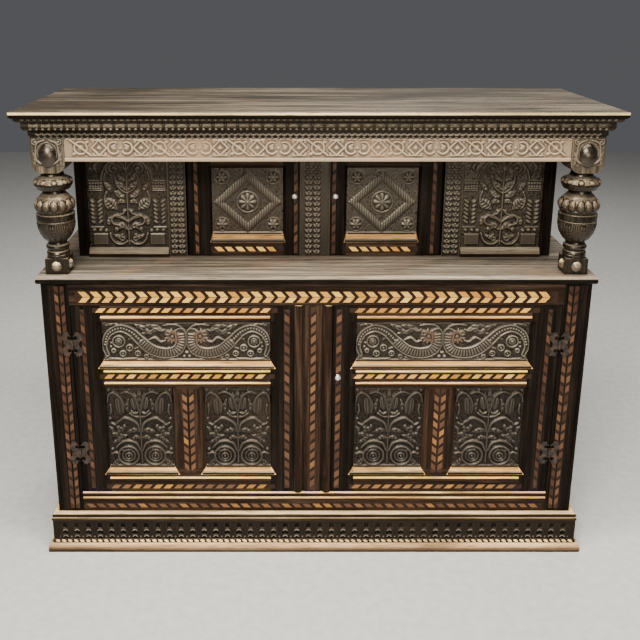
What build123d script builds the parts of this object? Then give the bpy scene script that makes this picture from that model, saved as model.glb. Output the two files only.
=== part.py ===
from build123d import *
import os

# Joined oak court cupboard: a panelled two-door cupboard below, a recessed two-door stage above it,
# and a frieze and cornice carried forward on two cup-and-cover columns.
# Millimetres. +Z is up, the front faces -Y, and the origin is under the middle of the whole piece.

# --- Overall sizes --------------------------------------------------------------------------------
CARCASS_WIDTH = 1740.0
CARCASS_DEPTH = 604.0
TOP_OVERHANG_FRONT = 46.0
TOP_OVERHANG_SIDE = 52.0
CANOPY_INSET = 12.0            # each end of the frieze stands this far inside the lower carcass

# --- Heights, from the floor up -------------------------------------------------------------------
FOOT_HEIGHT = 40.0
PLINTH_TOP = 110.0
CAP_HEIGHT = 28.0
BOTTOM_RAIL_HEIGHT = 74.0
DOOR_OPENING_HEIGHT = 675.0
TOP_RAIL_HEIGHT = 76.0
SHELF_THICKNESS = 25.0
STAGE_HEIGHT = 364.0
FRIEZE_HEIGHT = 72.0
CORNICE_HEIGHT = 62.0
TOP_THICKNESS = 20.0

# --- Lower carcass --------------------------------------------------------------------------------
POST_WIDTH = 86.0
POST_DEPTH = 70.0
BACK_POST = 50.0
CENTRE_MUNTIN_WIDTH = 122.0
CENTRE_MUNTIN_SHIFT = -8.0     # the hand-set muntin stands a little left of the middle
SIDE_FRAME_THICKNESS = 28.0
SIDE_FRAME_INSET = 4.0
SIDE_RAIL_HEIGHT = 90.0
SIDE_MID_RAIL_RISE = 391.5     # from the foot of the door opening to the side's middle rail
PANEL_THICKNESS = 10.0
GROOVE_DEPTH = 8.0
TENON_LENGTH = 36.0
TENON_THICKNESS = 9.0
TENON_CLEAR = 1.0              # wood left between a tenon and the rebate behind it
BACK_BOARD_THICKNESS = 14.0
BACK_RAIL_THICKNESS = 30.0
FLOOR_THICKNESS = 16.0
PLINTH_THICKNESS = 20.0
CAP_PROJECTION = 22.0
FOOT_PROJECTION = 16.0         # beyond the plinth boards
SHELF_OVERHANG_SIDE = 11.0
SHELF_OVERHANG_FRONT = 16.0
BACK_BOARD_COUNT = 6
FLOOR_BOARD_COUNT = 6
OVERCUT = 1.0                  # how far a cutter passes the face it opens
OVOLO = 0.7                    # where a quarter-round passes, as a share of its width and of its height

# --- Lower doors ----------------------------------------------------------------------------------
DOOR_THICKNESS = 28.0
DOOR_GAP = 2.0
STOP_CLEARANCE = 0.3
HINGE_STILE = 76.0
MEETING_STILE = 58.0
DOOR_TOP_RAIL = 54.0
DOOR_MID_RAIL = 64.0
DOOR_BOTTOM_RAIL = 63.0
UPPER_PANEL_HEIGHT = 164.0     # between the faces of the top and middle rails
DOOR_MUNTIN = 70.0
PANEL_SETBACK = 12.0
MOULD_SIDE = 18.0
MOULD_TOP = 7.0
MOULD_SILL = 25.0
BEAD_PROUD = 4.0
SHORT_TENON = 18.0
# Beads on a rail: where each starts and ends, measured down from the rail's upper edge.
DOOR_TOP_BEADS = ((34.0, 54.0),)
MID_RAIL_BEADS = ((6.0, 18.0), (47.0, 61.0))
DOOR_BOTTOM_BEADS = ((8.0, 23.0),)
BOTTOM_RAIL_BEADS = ((0.0, 11.0), (19.0, 32.0))

# --- Upper stage ----------------------------------------------------------------------------------
STAGE_RECESS = 200.0
STAGE_INSET = 78.0             # each end of the stage stands this far inside the lower carcass
STAGE_STILE = 36.0
STAGE_STILE_DEPTH = 45.0
STAGE_SILL_HEIGHT = 30.0
STAGE_SILL_PROUD = 14.0
STAGE_SILL_LIP = 10.5          # height of the upright face below the sill's slope
STAGE_SILL_QUIRK = 2.0         # how far the slope's head stands out from the stage front
STAGE_SIDE_THICKNESS = 18.0
STAGE_SIDE_RAIL = 60.0
STAGE_SIDE_PANEL = 8.0
SIDE_MUNTIN_WIDTH = 63.0
STAGE_MUNTIN_WIDTH = 102.0
STAGE_RAIL_DROP = 20.0         # how far the stage's top rail hangs below the frieze's lower edge
CUPBOARD_DOOR_WIDTH = 376.0    # each opening between muntins
CUPBOARD_DOOR_THICKNESS = 22.0
CUPBOARD_GAP = 1.5
CUPBOARD_HINGE_STILE = 75.0
CUPBOARD_MEETING_STILE = 45.0
CUPBOARD_TOP_RAIL = 34.0
CUPBOARD_BOTTOM_RAIL = 45.0
CUPBOARD_SETBACK = 9.0
CUPBOARD_PANEL_THICKNESS = 7.0
CUPBOARD_MOULD = 8.0
CUPBOARD_SILL = 30.0
CUPBOARD_TENON = 25.2
FIXED_PANEL_THICKNESS = 14.0
FIXED_PANEL_SETBACK = 7.0
STAGE_BACK_POST = 58.0

# --- Canopy: corner blocks, frieze, cornice and top -----------------------------------------------
CORNER_BLOCK = 94.0
CORNER_BLOCK_PROUD = 6.0
CORNER_BLOCK_DROP = 36.0       # below the frieze
FRIEZE_THICKNESS = 26.0
CORNICE_PROJECTION = 40.0
TOP_BOARD_COUNT = 4
EGG_WIDTH = 56.0
EGG_HEIGHT = 76.0
EGG_RISE = 15.0
# Members of the cornice from the bottom up: projection, lower edge and upper edge, as shares of the whole.
CORNICE_BED = (0.12, 0.00, 0.08)
LOWER_FASCIA = (0.22, 0.14, 0.36)
UPPER_FASCIA = (0.60, 0.56, 0.78)
CORNICE_LIP = (1.00, 0.92, 1.00)
CORNICE_COVE = (0.48, 0.42)    # where the cove between the fascias passes
CORNICE_OVOLO = (0.80, 0.82)   # where the ovolo below the lip passes

# --- Columns --------------------------------------------------------------------------------------
COLUMN_SETBACK = 43.0          # axis behind the carcass front
COLUMN_INSET = 53.0            # axis inside the end of the lower carcass
COLUMN_BLOCK = 70.0
COLUMN_BLOCK_HEIGHT = 51.0
COLUMN_WIDEST = 59.0
# The turning, from the block up. Each member is a row of (height, radius) points, in shares of the turned
# height and of the widest radius. The cup and the cover are arcs through their middle points.
COLUMN_BASE = ((0.000, 0.60), (0.030, 0.60))
COLUMN_RING = ((0.040, 0.57), (0.055, 0.61), (0.072, 0.57), (0.085, 0.51))
COLUMN_TORUS = ((0.105, 0.59), (0.125, 0.62), (0.145, 0.59), (0.160, 0.51))
COLUMN_CUP = ((0.180, 0.49), (0.315, 0.88), (0.450, 0.97))
COLUMN_GIRDLE = ((0.460, 1.00), (0.515, 1.00))
COLUMN_COVER = ((0.525, 0.90), (0.638, 0.94), (0.750, 0.60))
COLUMN_DISC = ((0.775, 0.58), (0.800, 0.86), (0.850, 1.00), (0.870, 1.00), (0.915, 0.88), (0.950, 0.60))
COLUMN_HEAD = ((1.000, 0.53),)
SPIGOT_RADIUS = 11.0
SPIGOT_LENGTH = 15.0
SPIGOT_CLEARANCE = 0.1
ROUND_BOSS_RADIUS = 16.0
ROUND_BOSS_RISE = 9.0

# --- Ironwork and knobs ---------------------------------------------------------------------------
KNUCKLE_RADIUS = 5.0
KNUCKLE_PITCH = 10.6
KNUCKLE_GAP = 0.3
HINGE_PIN_RADIUS = 2.4
PIN_CLEARANCE = 0.1
LEAF_THICKNESS = 3.0
LEAF_REACH = 34.0
LEAF_HEIGHT = 88.0
LEAF_ROOT = 21.0               # width of the plate between the two cocks' heads
LEAF_CLEAR = 1.5               # from the pin's axis to the plate
PIN_END = 0.5                  # how far the pin stands out of the knuckles
HINGE_FROM_TOP = 133.0
HINGE_FROM_BOTTOM = 150.0
PIVOT_RADIUS = 4.0
PIVOT_IN_DOOR = 16.0
PIVOT_IN_SOCKET = 11.0
KNOB_RADIUS = 9.5
KNOB_LENGTH = 20.0
# The knob's turning from its collar to its tip: (distance, radius), in shares of its length and radius.
KNOB_NECK = ((0.16, 0.62), (0.28, 0.44), (0.44, 0.62))
KNOB_BULB = ((0.54, 0.90), (0.68, 1.00), (0.83, 0.88), (0.94, 0.58))
KNOB_COLLAR = 0.62
KNOB_TIP_FLAT = 1.0
SPINDLE_RADIUS = 3.5
CATCH_THICKNESS = 5.0
CATCH_WIDTH = 13.0
CATCH_LENGTH = 36.0
CATCH_CLEARANCE = 1.0
LOWER_KNOB_FROM_EDGE = 17.0
LOWER_KNOB_BELOW_TOP = 245.0
UPPER_KNOB_FROM_EDGE = 15.0
UPPER_KNOB_BELOW_TOP = 135.0
KEYHOLE_RADIUS = 3.2
KEYHOLE_SLOT = 2.6
KEYHOLE_DROP = 9.0
KEYHOLE_DEPTH = 8.0
KEYHOLE_FROM_EDGE = 21.0
KEYHOLE_BELOW_KNOB = 38.0

# --- Levels and planes that follow from the sizes -------------------------------------------------
CAP_TOP = PLINTH_TOP + CAP_HEIGHT
DOOR_BASE = CAP_TOP + BOTTOM_RAIL_HEIGHT
DOOR_HEAD = DOOR_BASE + DOOR_OPENING_HEIGHT
LOWER_TOP = DOOR_HEAD + TOP_RAIL_HEIGHT
SHELF_TOP = LOWER_TOP + SHELF_THICKNESS
FRIEZE_BASE = SHELF_TOP + STAGE_HEIGHT
CORNICE_BASE = FRIEZE_BASE + FRIEZE_HEIGHT
TOP_BASE = CORNICE_BASE + CORNICE_HEIGHT
TOTAL_HEIGHT = TOP_BASE + TOP_THICKNESS

TOTAL_DEPTH = CARCASS_DEPTH + TOP_OVERHANG_FRONT
FRONT = -TOTAL_DEPTH / 2 + TOP_OVERHANG_FRONT
BACK = TOTAL_DEPTH / 2
BACK_INSIDE = BACK - BACK_BOARD_THICKNESS
HALF = CARCASS_WIDTH / 2
CANOPY_HALF = HALF - CANOPY_INSET
TOP_HALF = CANOPY_HALF + TOP_OVERHANG_SIDE
OPENING_HALF = HALF - POST_WIDTH
RAIL_THICKNESS = DOOR_THICKNESS + STOP_CLEARANCE
STAGE_FRONT = FRONT + STAGE_RECESS
STAGE_HALF = HALF - STAGE_INSET
STAGE_RAIL_THICKNESS = CUPBOARD_DOOR_THICKNESS + STOP_CLEARANCE
CUPBOARD_HEAD = FRIEZE_BASE - STAGE_RAIL_DROP
COLUMN_X = HALF - COLUMN_INSET
COLUMN_Y = FRONT + COLUMN_SETBACK
MUNTIN_LEFT = CENTRE_MUNTIN_SHIFT - CENTRE_MUNTIN_WIDTH / 2
MUNTIN_RIGHT = CENTRE_MUNTIN_SHIFT + CENTRE_MUNTIN_WIDTH / 2
CLEAR = 200.0                  # a cutter reaches this far past what it cuts


# --- Helpers --------------------------------------------------------------------------------------
def block(x, y, z):
    """A box from three (low, high) pairs."""
    centre = [(low + high) / 2 for low, high in (x, y, z)]
    size = [high - low for low, high in (x, y, z)]
    return Pos(*centre) * Box(*size)


def outline(start, *steps):
    """A closed face. A step is a point for a straight run, or a (through, end) pair for an arc."""
    edges = []
    here = start
    for step in steps:
        if isinstance(step[0], tuple):
            edges.append(ThreePointArc(here, step[0], step[1]))
            here = step[1]
        else:
            edges.append(Line(here, step))
            here = step
    edges.append(Line(here, start))
    return make_face(edges)


def along_x(face, x0, x1):
    """Extrude a (y, z) profile from x0 to x1."""
    plane = Plane(origin=(x0, 0, 0), x_dir=(0, 1, 0), z_dir=(1, 0, 0))
    return extrude(plane * face, amount=x1 - x0)


def along_z(face, z0, z1):
    """Extrude an (x, y) profile from z0 to z1."""
    return extrude(Plane.XY.offset(z0) * face, amount=z1 - z0)


def other_side(shape):
    return mirror(shape, about=Plane.YZ)


def pair(shape):
    """A shape and its mirror image in the other half of the cupboard."""
    return [shape, other_side(shape)]


def row_of_boards(count, along, span, others):
    """Boards side by side: along is 0 for x or 1 for y, span is the pair that the row fills."""
    width = (span[1] - span[0]) / count
    boards = []
    for index in range(count):
        extent = (span[0] + index * width, span[0] + (index + 1) * width)
        pairs = list(others)
        pairs.insert(along, extent)
        boards.append(block(*pairs))
    return boards


def tenon_x(x_from, x_to, y_mid, z):
    """A tongue along x that joins a rail to a post or stile."""
    return block((x_from, x_to), (y_mid - TENON_THICKNESS / 2, y_mid + TENON_THICKNESS / 2), z)


def mitred_run(face, half_width, front, back):
    """A moulding across the front and back along both ends. The (out, z) face starts at the wall plane."""
    reach = face.bounding_box().max.X
    # This plane keeps the profile's second axis upwards, and its normal points back along the run.
    front_plane = Plane(origin=(-half_width - reach, front, 0), x_dir=(0, -1, 0), z_dir=(-1, 0, 0))
    front_bar = extrude(front_plane * face, amount=-2 * (half_width + reach))
    side_plane = Plane(origin=(half_width, back, 0), x_dir=(1, 0, 0), z_dir=(0, -1, 0))
    side_bar = extrude(side_plane * face, amount=back - front + reach)
    low, high = face.bounding_box().min.Y, face.bounding_box().max.Y
    front_wedge = along_z(
        outline(
            (-half_width, front),
            (half_width, front),
            (half_width + reach, front - reach),
            (-half_width - reach, front - reach),
        ),
        low,
        high,
    )
    side_wedge = along_z(
        outline(
            (half_width, front),
            (half_width, back),
            (half_width + reach, back),
            (half_width + reach, front - reach),
        ),
        low,
        high,
    )
    return [front_bar & front_wedge] + pair(side_bar & side_wedge)


def splay(x, z, front, depth, sides, top, sill):
    """The tapering void in front of a panel. x and z are the opening where the panel lies."""
    near = Rectangle(x[1] - x[0] + 2 * sides, z[1] - z[0] + top + sill)
    far = Rectangle(x[1] - x[0], z[1] - z[0])
    middle_x = (x[0] + x[1]) / 2
    middle_z = (z[0] + z[1]) / 2
    near_at = (middle_x, front, middle_z + (top - sill) / 2)
    far_at = (middle_x, front + depth, middle_z)
    planes = [Plane(origin=origin, x_dir=(1, 0, 0), z_dir=(0, -1, 0)) for origin in (near_at, far_at)]
    return loft([planes[0] * near, planes[1] * far], ruled=True)


def beaded(front, back, z, head, beads):
    """A rail's (y, z) profile with half-round beads on its front, each a (start, end) pair below head."""
    steps = [(back, z[0]), (back, z[1]), (front, z[1])]
    for start, end in beads:
        if head - start < z[1]:
            steps.append((front, head - start))
        steps.append(((front - BEAD_PROUD, head - (start + end) / 2), (front, head - end)))
    return outline((front, z[0]), *steps)


def split_turning(width, height, rise):
    """An oval boss on the plane z = 0: the outer slice of a turned egg whose axis lies behind it."""
    radius = ((width / 2) ** 2 + rise**2) / (2 * rise)
    behind = radius - rise
    ends = [(behind, -height / 2), ((radius, 0), (behind, height / 2))]
    egg = outline((0, -height / 2), *ends, (0, height / 2))
    turned = Pos(0, 0, -behind) * revolve(egg, axis=Axis.Y)
    return turned & block((-width, width), (-height, height), (0, 2 * rise))


def facing(shape, position, normal):
    """Move a shape from the plane z = 0 to a wall, with its local y upwards."""
    plane = Plane(origin=position, x_dir=(-normal[1], normal[0], 0), z_dir=normal)
    return plane * shape


nodes = {}

# --- Lower carcass: posts -------------------------------------------------------------------------
post_x = (HALF - POST_WIDTH, HALF)
post_y = (FRONT, FRONT + POST_DEPTH)
front_post = block(post_x, post_y, (0, LOWER_TOP))
REED_FROM_EDGE = 11.0
REED_GROOVE = 4.0
groove = Box(REED_GROOVE, REED_GROOVE, LOWER_TOP - CAP_TOP)
for reed_x in (post_x[0] + REED_FROM_EDGE, post_x[1] - REED_FROM_EDGE):
    front_post -= Pos(reed_x, FRONT, (CAP_TOP + LOWER_TOP) / 2) * groove

back_post = block((HALF - BACK_POST, HALF), (BACK - BACK_POST, BACK), (0, LOWER_TOP))
back_post -= block(
    (HALF - BACK_POST - OVERCUT, HALF - BACK_POST / 2),
    (BACK_INSIDE, BACK + OVERCUT),
    (CAP_TOP, LOWER_TOP + OVERCUT),
)

# Side frames: three rails between the posts of each side, with two panels in grooves.
side_x = (HALF - SIDE_FRAME_INSET - SIDE_FRAME_THICKNESS, HALF - SIDE_FRAME_INSET)
side_y = (FRONT + POST_DEPTH, BACK - BACK_POST)
side_mid = (side_x[0] + side_x[1]) / 2
side_mid_rail = DOOR_BASE + SIDE_MID_RAIL_RISE
side_levels = [
    (PLINTH_TOP, DOOR_BASE),
    (side_mid_rail, side_mid_rail + SIDE_RAIL_HEIGHT),
    (DOOR_HEAD - (SIDE_RAIL_HEIGHT - TOP_RAIL_HEIGHT), LOWER_TOP),
]
side_panel_x = (side_mid - PANEL_THICKNESS / 2, side_mid + PANEL_THICKNESS / 2)
side_panels = []
for below, above in zip(side_levels, side_levels[1:]):
    side_panels.append(
        block(
            side_panel_x,
            (side_y[0] - GROOVE_DEPTH, side_y[1] + GROOVE_DEPTH),
            (below[1] - GROOVE_DEPTH, above[0] + GROOVE_DEPTH),
        )
    )
TENON_SHOULDER = 12.0
side_rails = []
for low, high in side_levels:
    tongue = block(
        (side_mid - TENON_THICKNESS / 2, side_mid + TENON_THICKNESS / 2),
        (side_y[0] - TENON_LENGTH, side_y[1] + TENON_LENGTH),
        (low + TENON_SHOULDER, high - TENON_SHOULDER),
    )
    front_post -= tongue
    back_post -= tongue
    side_rails.append(block(side_x, side_y, (low, high)) + tongue)
for panel in side_panels:
    side_rails = [rail - panel for rail in side_rails]
    front_post -= panel
    back_post -= panel

nodes["lower_side_rails"] = side_rails + [other_side(rail) for rail in side_rails]
nodes["lower_side_panels"] = side_panels + [other_side(panel) for panel in side_panels]

# --- Lower carcass: front rails and centre muntin -------------------------------------------------
TOP_FILLET = 17.0
TOP_FILLET_PROUD = 8.0
rail_back = FRONT + RAIL_THICKNESS
fillet_swell = (FRONT - TOP_FILLET_PROUD * OVOLO, LOWER_TOP - TOP_FILLET * OVOLO)
top_rail_profile = outline(
    (rail_back, DOOR_HEAD),
    (FRONT, DOOR_HEAD),
    (FRONT, LOWER_TOP - TOP_FILLET),
    (fillet_swell, (FRONT - TOP_FILLET_PROUD, LOWER_TOP)),
    (rail_back, LOWER_TOP),
)
bottom_rail_profile = beaded(FRONT, rail_back, (PLINTH_TOP, DOOR_BASE), DOOR_BASE, BOTTOM_RAIL_BEADS)

top_rail = along_x(top_rail_profile, -OPENING_HALF, OPENING_HALF)
bottom_rail = along_x(bottom_rail_profile, -OPENING_HALF, OPENING_HALF)
tenon_mid = FRONT + RAIL_THICKNESS / 2
tenon_reach = (OPENING_HALF, OPENING_HALF + TENON_LENGTH)
upper_tongue = tenon_x(*tenon_reach, tenon_mid, (DOOR_HEAD + TENON_SHOULDER, LOWER_TOP - TENON_SHOULDER))
lower_tongue = tenon_x(*tenon_reach, tenon_mid, (PLINTH_TOP + TENON_SHOULDER, DOOR_BASE - TENON_SHOULDER))
front_post -= upper_tongue + lower_tongue
top_rail += upper_tongue + other_side(upper_tongue)
bottom_rail += lower_tongue + other_side(lower_tongue)

# The centre muntin has a reed along each edge and a flat strip between two hollows.
REED_WIDTH = 26.0
HOLLOW_WIDTH = 8.0
HOLLOW_DEPTH = 5.0
REED_PROUD = 6.0


def muntin_profile(left, right):
    reed_mid = REED_WIDTH / 2
    back = FRONT + RAIL_THICKNESS
    floor = FRONT + HOLLOW_DEPTH
    return outline(
        (left, back),
        (left, FRONT),
        ((left + reed_mid, FRONT - REED_PROUD), (left + REED_WIDTH, FRONT)),
        (left + REED_WIDTH, floor),
        (left + REED_WIDTH + HOLLOW_WIDTH, floor),
        (left + REED_WIDTH + HOLLOW_WIDTH, FRONT),
        (right - REED_WIDTH - HOLLOW_WIDTH, FRONT),
        (right - REED_WIDTH - HOLLOW_WIDTH, floor),
        (right - REED_WIDTH, floor),
        (right - REED_WIDTH, FRONT),
        ((right - reed_mid, FRONT - REED_PROUD), (right, FRONT)),
        (right, back),
    )


centre_muntin = along_z(muntin_profile(MUNTIN_LEFT, MUNTIN_RIGHT), DOOR_BASE, DOOR_HEAD)
for low, high in ((DOOR_BASE - TENON_LENGTH, DOOR_BASE), (DOOR_HEAD, DOOR_HEAD + TENON_LENGTH)):
    tongue = block(
        (MUNTIN_LEFT + TENON_SHOULDER, MUNTIN_RIGHT - TENON_SHOULDER),
        (tenon_mid - TENON_THICKNESS / 2, tenon_mid + TENON_THICKNESS / 2),
        (low, high),
    )
    centre_muntin += tongue
    top_rail -= tongue
    bottom_rail -= tongue

# --- Lower carcass: floor, back and plinth --------------------------------------------------------
inside_back = BACK_INSIDE - BACK_RAIL_THICKNESS
back_rail_x = (-HALF + BACK_POST, HALF - BACK_POST)
back_rails = [
    block(back_rail_x, (inside_back, BACK_INSIDE), (CAP_TOP, DOOR_BASE)),
    block(back_rail_x, (inside_back, BACK_INSIDE), (DOOR_HEAD, LOWER_TOP)),
]
back_board_reach = HALF - BACK_POST / 2
back_boards = row_of_boards(
    BACK_BOARD_COUNT, 0, (-back_board_reach, back_board_reach), [(BACK_INSIDE, BACK), (CAP_TOP, LOWER_TOP)]
)
floor_lap = (RAIL_THICKNESS - TENON_THICKNESS) / 2 - TENON_CLEAR
floor_span = (rail_back - floor_lap, inside_back + floor_lap)
floor_levels = (DOOR_BASE - FLOOR_THICKNESS, DOOR_BASE)
floor_edges = (-side_x[0], side_x[0])
floor_boards = row_of_boards(FLOOR_BOARD_COUNT, 0, floor_edges, [floor_span, floor_levels])
floor_slab = block(floor_edges, floor_span, floor_levels)
bottom_rail -= floor_slab
back_rails[0] -= floor_slab
post_notches = block(post_x, post_y, floor_levels)
post_notches += block((HALF - BACK_POST, HALF), (BACK - BACK_POST, BACK), floor_levels)
post_notches += other_side(post_notches)
floor_boards = [board - post_notches for board in floor_boards]

nodes["front_posts"] = pair(front_post)
nodes["back_posts"] = pair(back_post)
nodes["lower_top_rail"] = [top_rail]
nodes["lower_bottom_rail"] = [bottom_rail]
nodes["lower_centre_muntin"] = [centre_muntin]
nodes["lower_back_rails"] = back_rails
nodes["lower_back_boards"] = back_boards
nodes["lower_floor_boards"] = floor_boards

STOP_LENGTH = 60.0
STOP_HEIGHT = 40.0
STOP_LAP = 14.0
STOP_THICKNESS = 14.0
STOP_FROM_MUNTIN = 110.0
nodes["door_stops"] = [
    block(
        (x - STOP_LENGTH / 2, x + STOP_LENGTH / 2),
        (rail_back, rail_back + STOP_THICKNESS),
        (DOOR_HEAD - STOP_LAP, DOOR_HEAD - STOP_LAP + STOP_HEIGHT),
    )
    for x in (MUNTIN_LEFT - STOP_FROM_MUNTIN, MUNTIN_RIGHT + STOP_FROM_MUNTIN)
]

plinth_half = HALF + PLINTH_THICKNESS
plinth_front = FRONT - PLINTH_THICKNESS
plinth_face_board = block((-plinth_half, plinth_half), (plinth_front, FRONT), (0, PLINTH_TOP))
plinth_side_board = block((HALF, plinth_half), (FRONT, BACK), (0, PLINTH_TOP))
nodes["plinth_boards"] = [plinth_face_board] + pair(plinth_side_board)
FOOT_FACE = 12.0               # the upright face at the floor
FOOT_SWELL = (13.6, 24.8)      # the ovolo above it passes here (out, up) and ends at the shoulder
FOOT_SHOULDER = (8.0, 31.2)
foot_profile = outline(
    (0, 0),
    (FOOT_PROJECTION, 0),
    (FOOT_PROJECTION, FOOT_FACE),
    (FOOT_SWELL, FOOT_SHOULDER),
    (0, FOOT_HEIGHT),
)
nodes["foot_moulding"] = mitred_run(foot_profile, plinth_half, plinth_front, BACK)
CAP_STEP = 2.0                 # how far the upper reed stands behind the lower one
reed = CAP_HEIGHT / 4
reed_edge = CAP_PROJECTION - reed
reed_top = PLINTH_TOP + 2 * reed
cap_profile = outline(
    (0, PLINTH_TOP),
    (reed_edge, PLINTH_TOP),
    ((CAP_PROJECTION, PLINTH_TOP + reed), (reed_edge, reed_top)),
    ((CAP_PROJECTION - CAP_STEP, reed_top + reed), (reed_edge - CAP_STEP, CAP_TOP)),
    (0, CAP_TOP),
)
nodes["plinth_cap_moulding"] = mitred_run(cap_profile, HALF, FRONT, BACK)

# --- Middle board ---------------------------------------------------------------------------------
shelf_half = HALF + SHELF_OVERHANG_SIDE
shelf_front = FRONT - SHELF_OVERHANG_FRONT
SHELF_CHAMFER = 4.2
MIDDLE_BOARD_COUNT = 2
shelf_core = block((-shelf_half, shelf_half), (shelf_front, BACK), (LOWER_TOP, SHELF_TOP))
front_edges = shelf_core.edges().filter_by(Axis.X).sort_by(Axis.Y)[:2]
side_edges = shelf_core.edges().filter_by(Axis.Y)
shelf_core = chamfer(front_edges + side_edges, SHELF_CHAMFER)
middle_boards = [
    shelf_core & slab
    for slab in row_of_boards(
        MIDDLE_BOARD_COUNT, 1, (shelf_front, BACK), [(-shelf_half, shelf_half), (LOWER_TOP, SHELF_TOP)]
    )
]


# --- Columns --------------------------------------------------------------------------------------
def turned_column():
    """Cup-and-cover column on its square block, with its axis on z and its foot at z = 0."""
    height = STAGE_HEIGHT - CORNER_BLOCK_DROP
    base = COLUMN_BLOCK_HEIGHT

    def points(member):
        """A member's (height, radius) shares as (radius, height) points."""
        return [(radius * COLUMN_WIDEST, base + share * (height - base)) for share, radius in member]

    cup_foot, cup_belly, cup_rim = points(COLUMN_CUP)
    cover_foot, cover_belly, cover_head = points(COLUMN_COVER)
    profile = outline(
        (0, base),
        *points(COLUMN_BASE),
        *points(COLUMN_RING),
        *points(COLUMN_TORUS),
        cup_foot,
        (cup_belly, cup_rim),
        *points(COLUMN_GIRDLE),
        cover_foot,
        (cover_belly, cover_head),
        *points(COLUMN_DISC),
        *points(COLUMN_HEAD),
        (0, height),
    )
    shaft = revolve(Plane.XZ * profile, axis=Axis.Z)
    square = Pos(0, 0, base / 2) * Box(COLUMN_BLOCK, COLUMN_BLOCK, base)
    lower_spigot = Pos(0, 0, -SPIGOT_LENGTH / 2) * Cylinder(SPIGOT_RADIUS, SPIGOT_LENGTH)
    upper_spigot = Pos(0, 0, height + SPIGOT_LENGTH / 2) * Cylinder(SPIGOT_RADIUS, SPIGOT_LENGTH)
    return shaft + square + lower_spigot + upper_spigot


column = Pos(COLUMN_X, COLUMN_Y, SHELF_TOP) * turned_column()
nodes["column_right"] = [column]
nodes["column_left"] = [other_side(column)]
boss = split_turning(2 * ROUND_BOSS_RADIUS, 2 * ROUND_BOSS_RADIUS, ROUND_BOSS_RISE)
boss_z = SHELF_TOP + COLUMN_BLOCK_HEIGHT / 2
block_bosses = [
    facing(boss, (COLUMN_X, COLUMN_Y - COLUMN_BLOCK / 2, boss_z), (0, -1, 0)),
    facing(boss, (COLUMN_X + COLUMN_BLOCK / 2, COLUMN_Y, boss_z), (1, 0, 0)),
    facing(boss, (COLUMN_X - COLUMN_BLOCK / 2, COLUMN_Y, boss_z), (-1, 0, 0)),
]
nodes["column_block_bosses"] = block_bosses + [other_side(shape) for shape in block_bosses]

# --- Corner blocks --------------------------------------------------------------------------------
block_base = FRIEZE_BASE - CORNER_BLOCK_DROP
face_x = (CANOPY_HALF - CORNER_BLOCK, CANOPY_HALF + CORNER_BLOCK_PROUD)
face_y = (FRONT - CORNER_BLOCK_PROUD, FRONT + CORNER_BLOCK)
corner_block = block(face_x, face_y, (block_base, CORNICE_BASE))
SHIELD_ROUND = 30.0
lower_corners = corner_block.edges().filter_by(Axis.Y).sort_by(Axis.Z)[:2]
corner_block = fillet(lower_corners, SHIELD_ROUND)
corner_block += block((face_x[0], CANOPY_HALF), (FRONT, face_y[1]), (CORNICE_BASE, TOP_BASE))
corner_block -= Pos(COLUMN_X, COLUMN_Y, block_base + SPIGOT_LENGTH / 2) * Cylinder(
    SPIGOT_RADIUS + SPIGOT_CLEARANCE, SPIGOT_LENGTH
)
nodes["corner_blocks"] = pair(corner_block)
egg = split_turning(EGG_WIDTH, EGG_HEIGHT, EGG_RISE)
egg_z = (block_base + CORNICE_BASE) / 2
egg_x = (face_x[0] + face_x[1]) / 2
front_egg = facing(egg, (egg_x, face_y[0], egg_z), (0, -1, 0))
side_egg = facing(egg, (face_x[1], (face_y[0] + face_y[1]) / 2, egg_z), (1, 0, 0))
nodes["corner_bosses"] = pair(front_egg) + pair(side_egg)

# --- Upper stage: posts, rails and muntins --------------------------------------------------------
stage_rail_y = (STAGE_FRONT, STAGE_FRONT + STAGE_RAIL_THICKNESS)
stile_x = (STAGE_HALF - STAGE_STILE, STAGE_HALF)
end_stile = block(stile_x, (STAGE_FRONT, STAGE_FRONT + STAGE_STILE_DEPTH), (SHELF_TOP, TOP_BASE))
stage_top_rail = block((-stile_x[0], stile_x[0]), stage_rail_y, (CUPBOARD_HEAD, TOP_BASE))
centre_half = STAGE_MUNTIN_WIDTH / 2
hinge_edge = centre_half + CUPBOARD_DOOR_WIDTH
side_muntin_x = (hinge_edge, hinge_edge + SIDE_MUNTIN_WIDTH)
centre_stage_muntin = block((-centre_half, centre_half), stage_rail_y, (SHELF_TOP, CUPBOARD_HEAD))
side_muntin = block(side_muntin_x, stage_rail_y, (SHELF_TOP, CUPBOARD_HEAD))
fixed_panel_front = STAGE_FRONT + FIXED_PANEL_SETBACK
fixed_panel_y = (fixed_panel_front, fixed_panel_front + FIXED_PANEL_THICKNESS)
sill_x = (side_muntin_x[1], stile_x[0])
sill_top = SHELF_TOP + STAGE_SILL_HEIGHT
stage_sill = along_x(
    outline(
        (stage_rail_y[1], SHELF_TOP),
        (STAGE_FRONT - STAGE_SILL_PROUD, SHELF_TOP),
        (STAGE_FRONT - STAGE_SILL_PROUD, SHELF_TOP + STAGE_SILL_LIP),
        (STAGE_FRONT - STAGE_SILL_QUIRK, sill_top),
        (stage_rail_y[1], sill_top),
    ),
    *sill_x,
)
fixed_panel = block(
    (sill_x[0] - GROOVE_DEPTH, sill_x[1] + GROOVE_DEPTH),
    fixed_panel_y,
    (sill_top - GROOVE_DEPTH, CUPBOARD_HEAD + GROOVE_DEPTH),
)
stage_sill -= fixed_panel
side_muntin -= fixed_panel
end_stile -= fixed_panel
stage_top_rail -= fixed_panel + other_side(fixed_panel)

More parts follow.
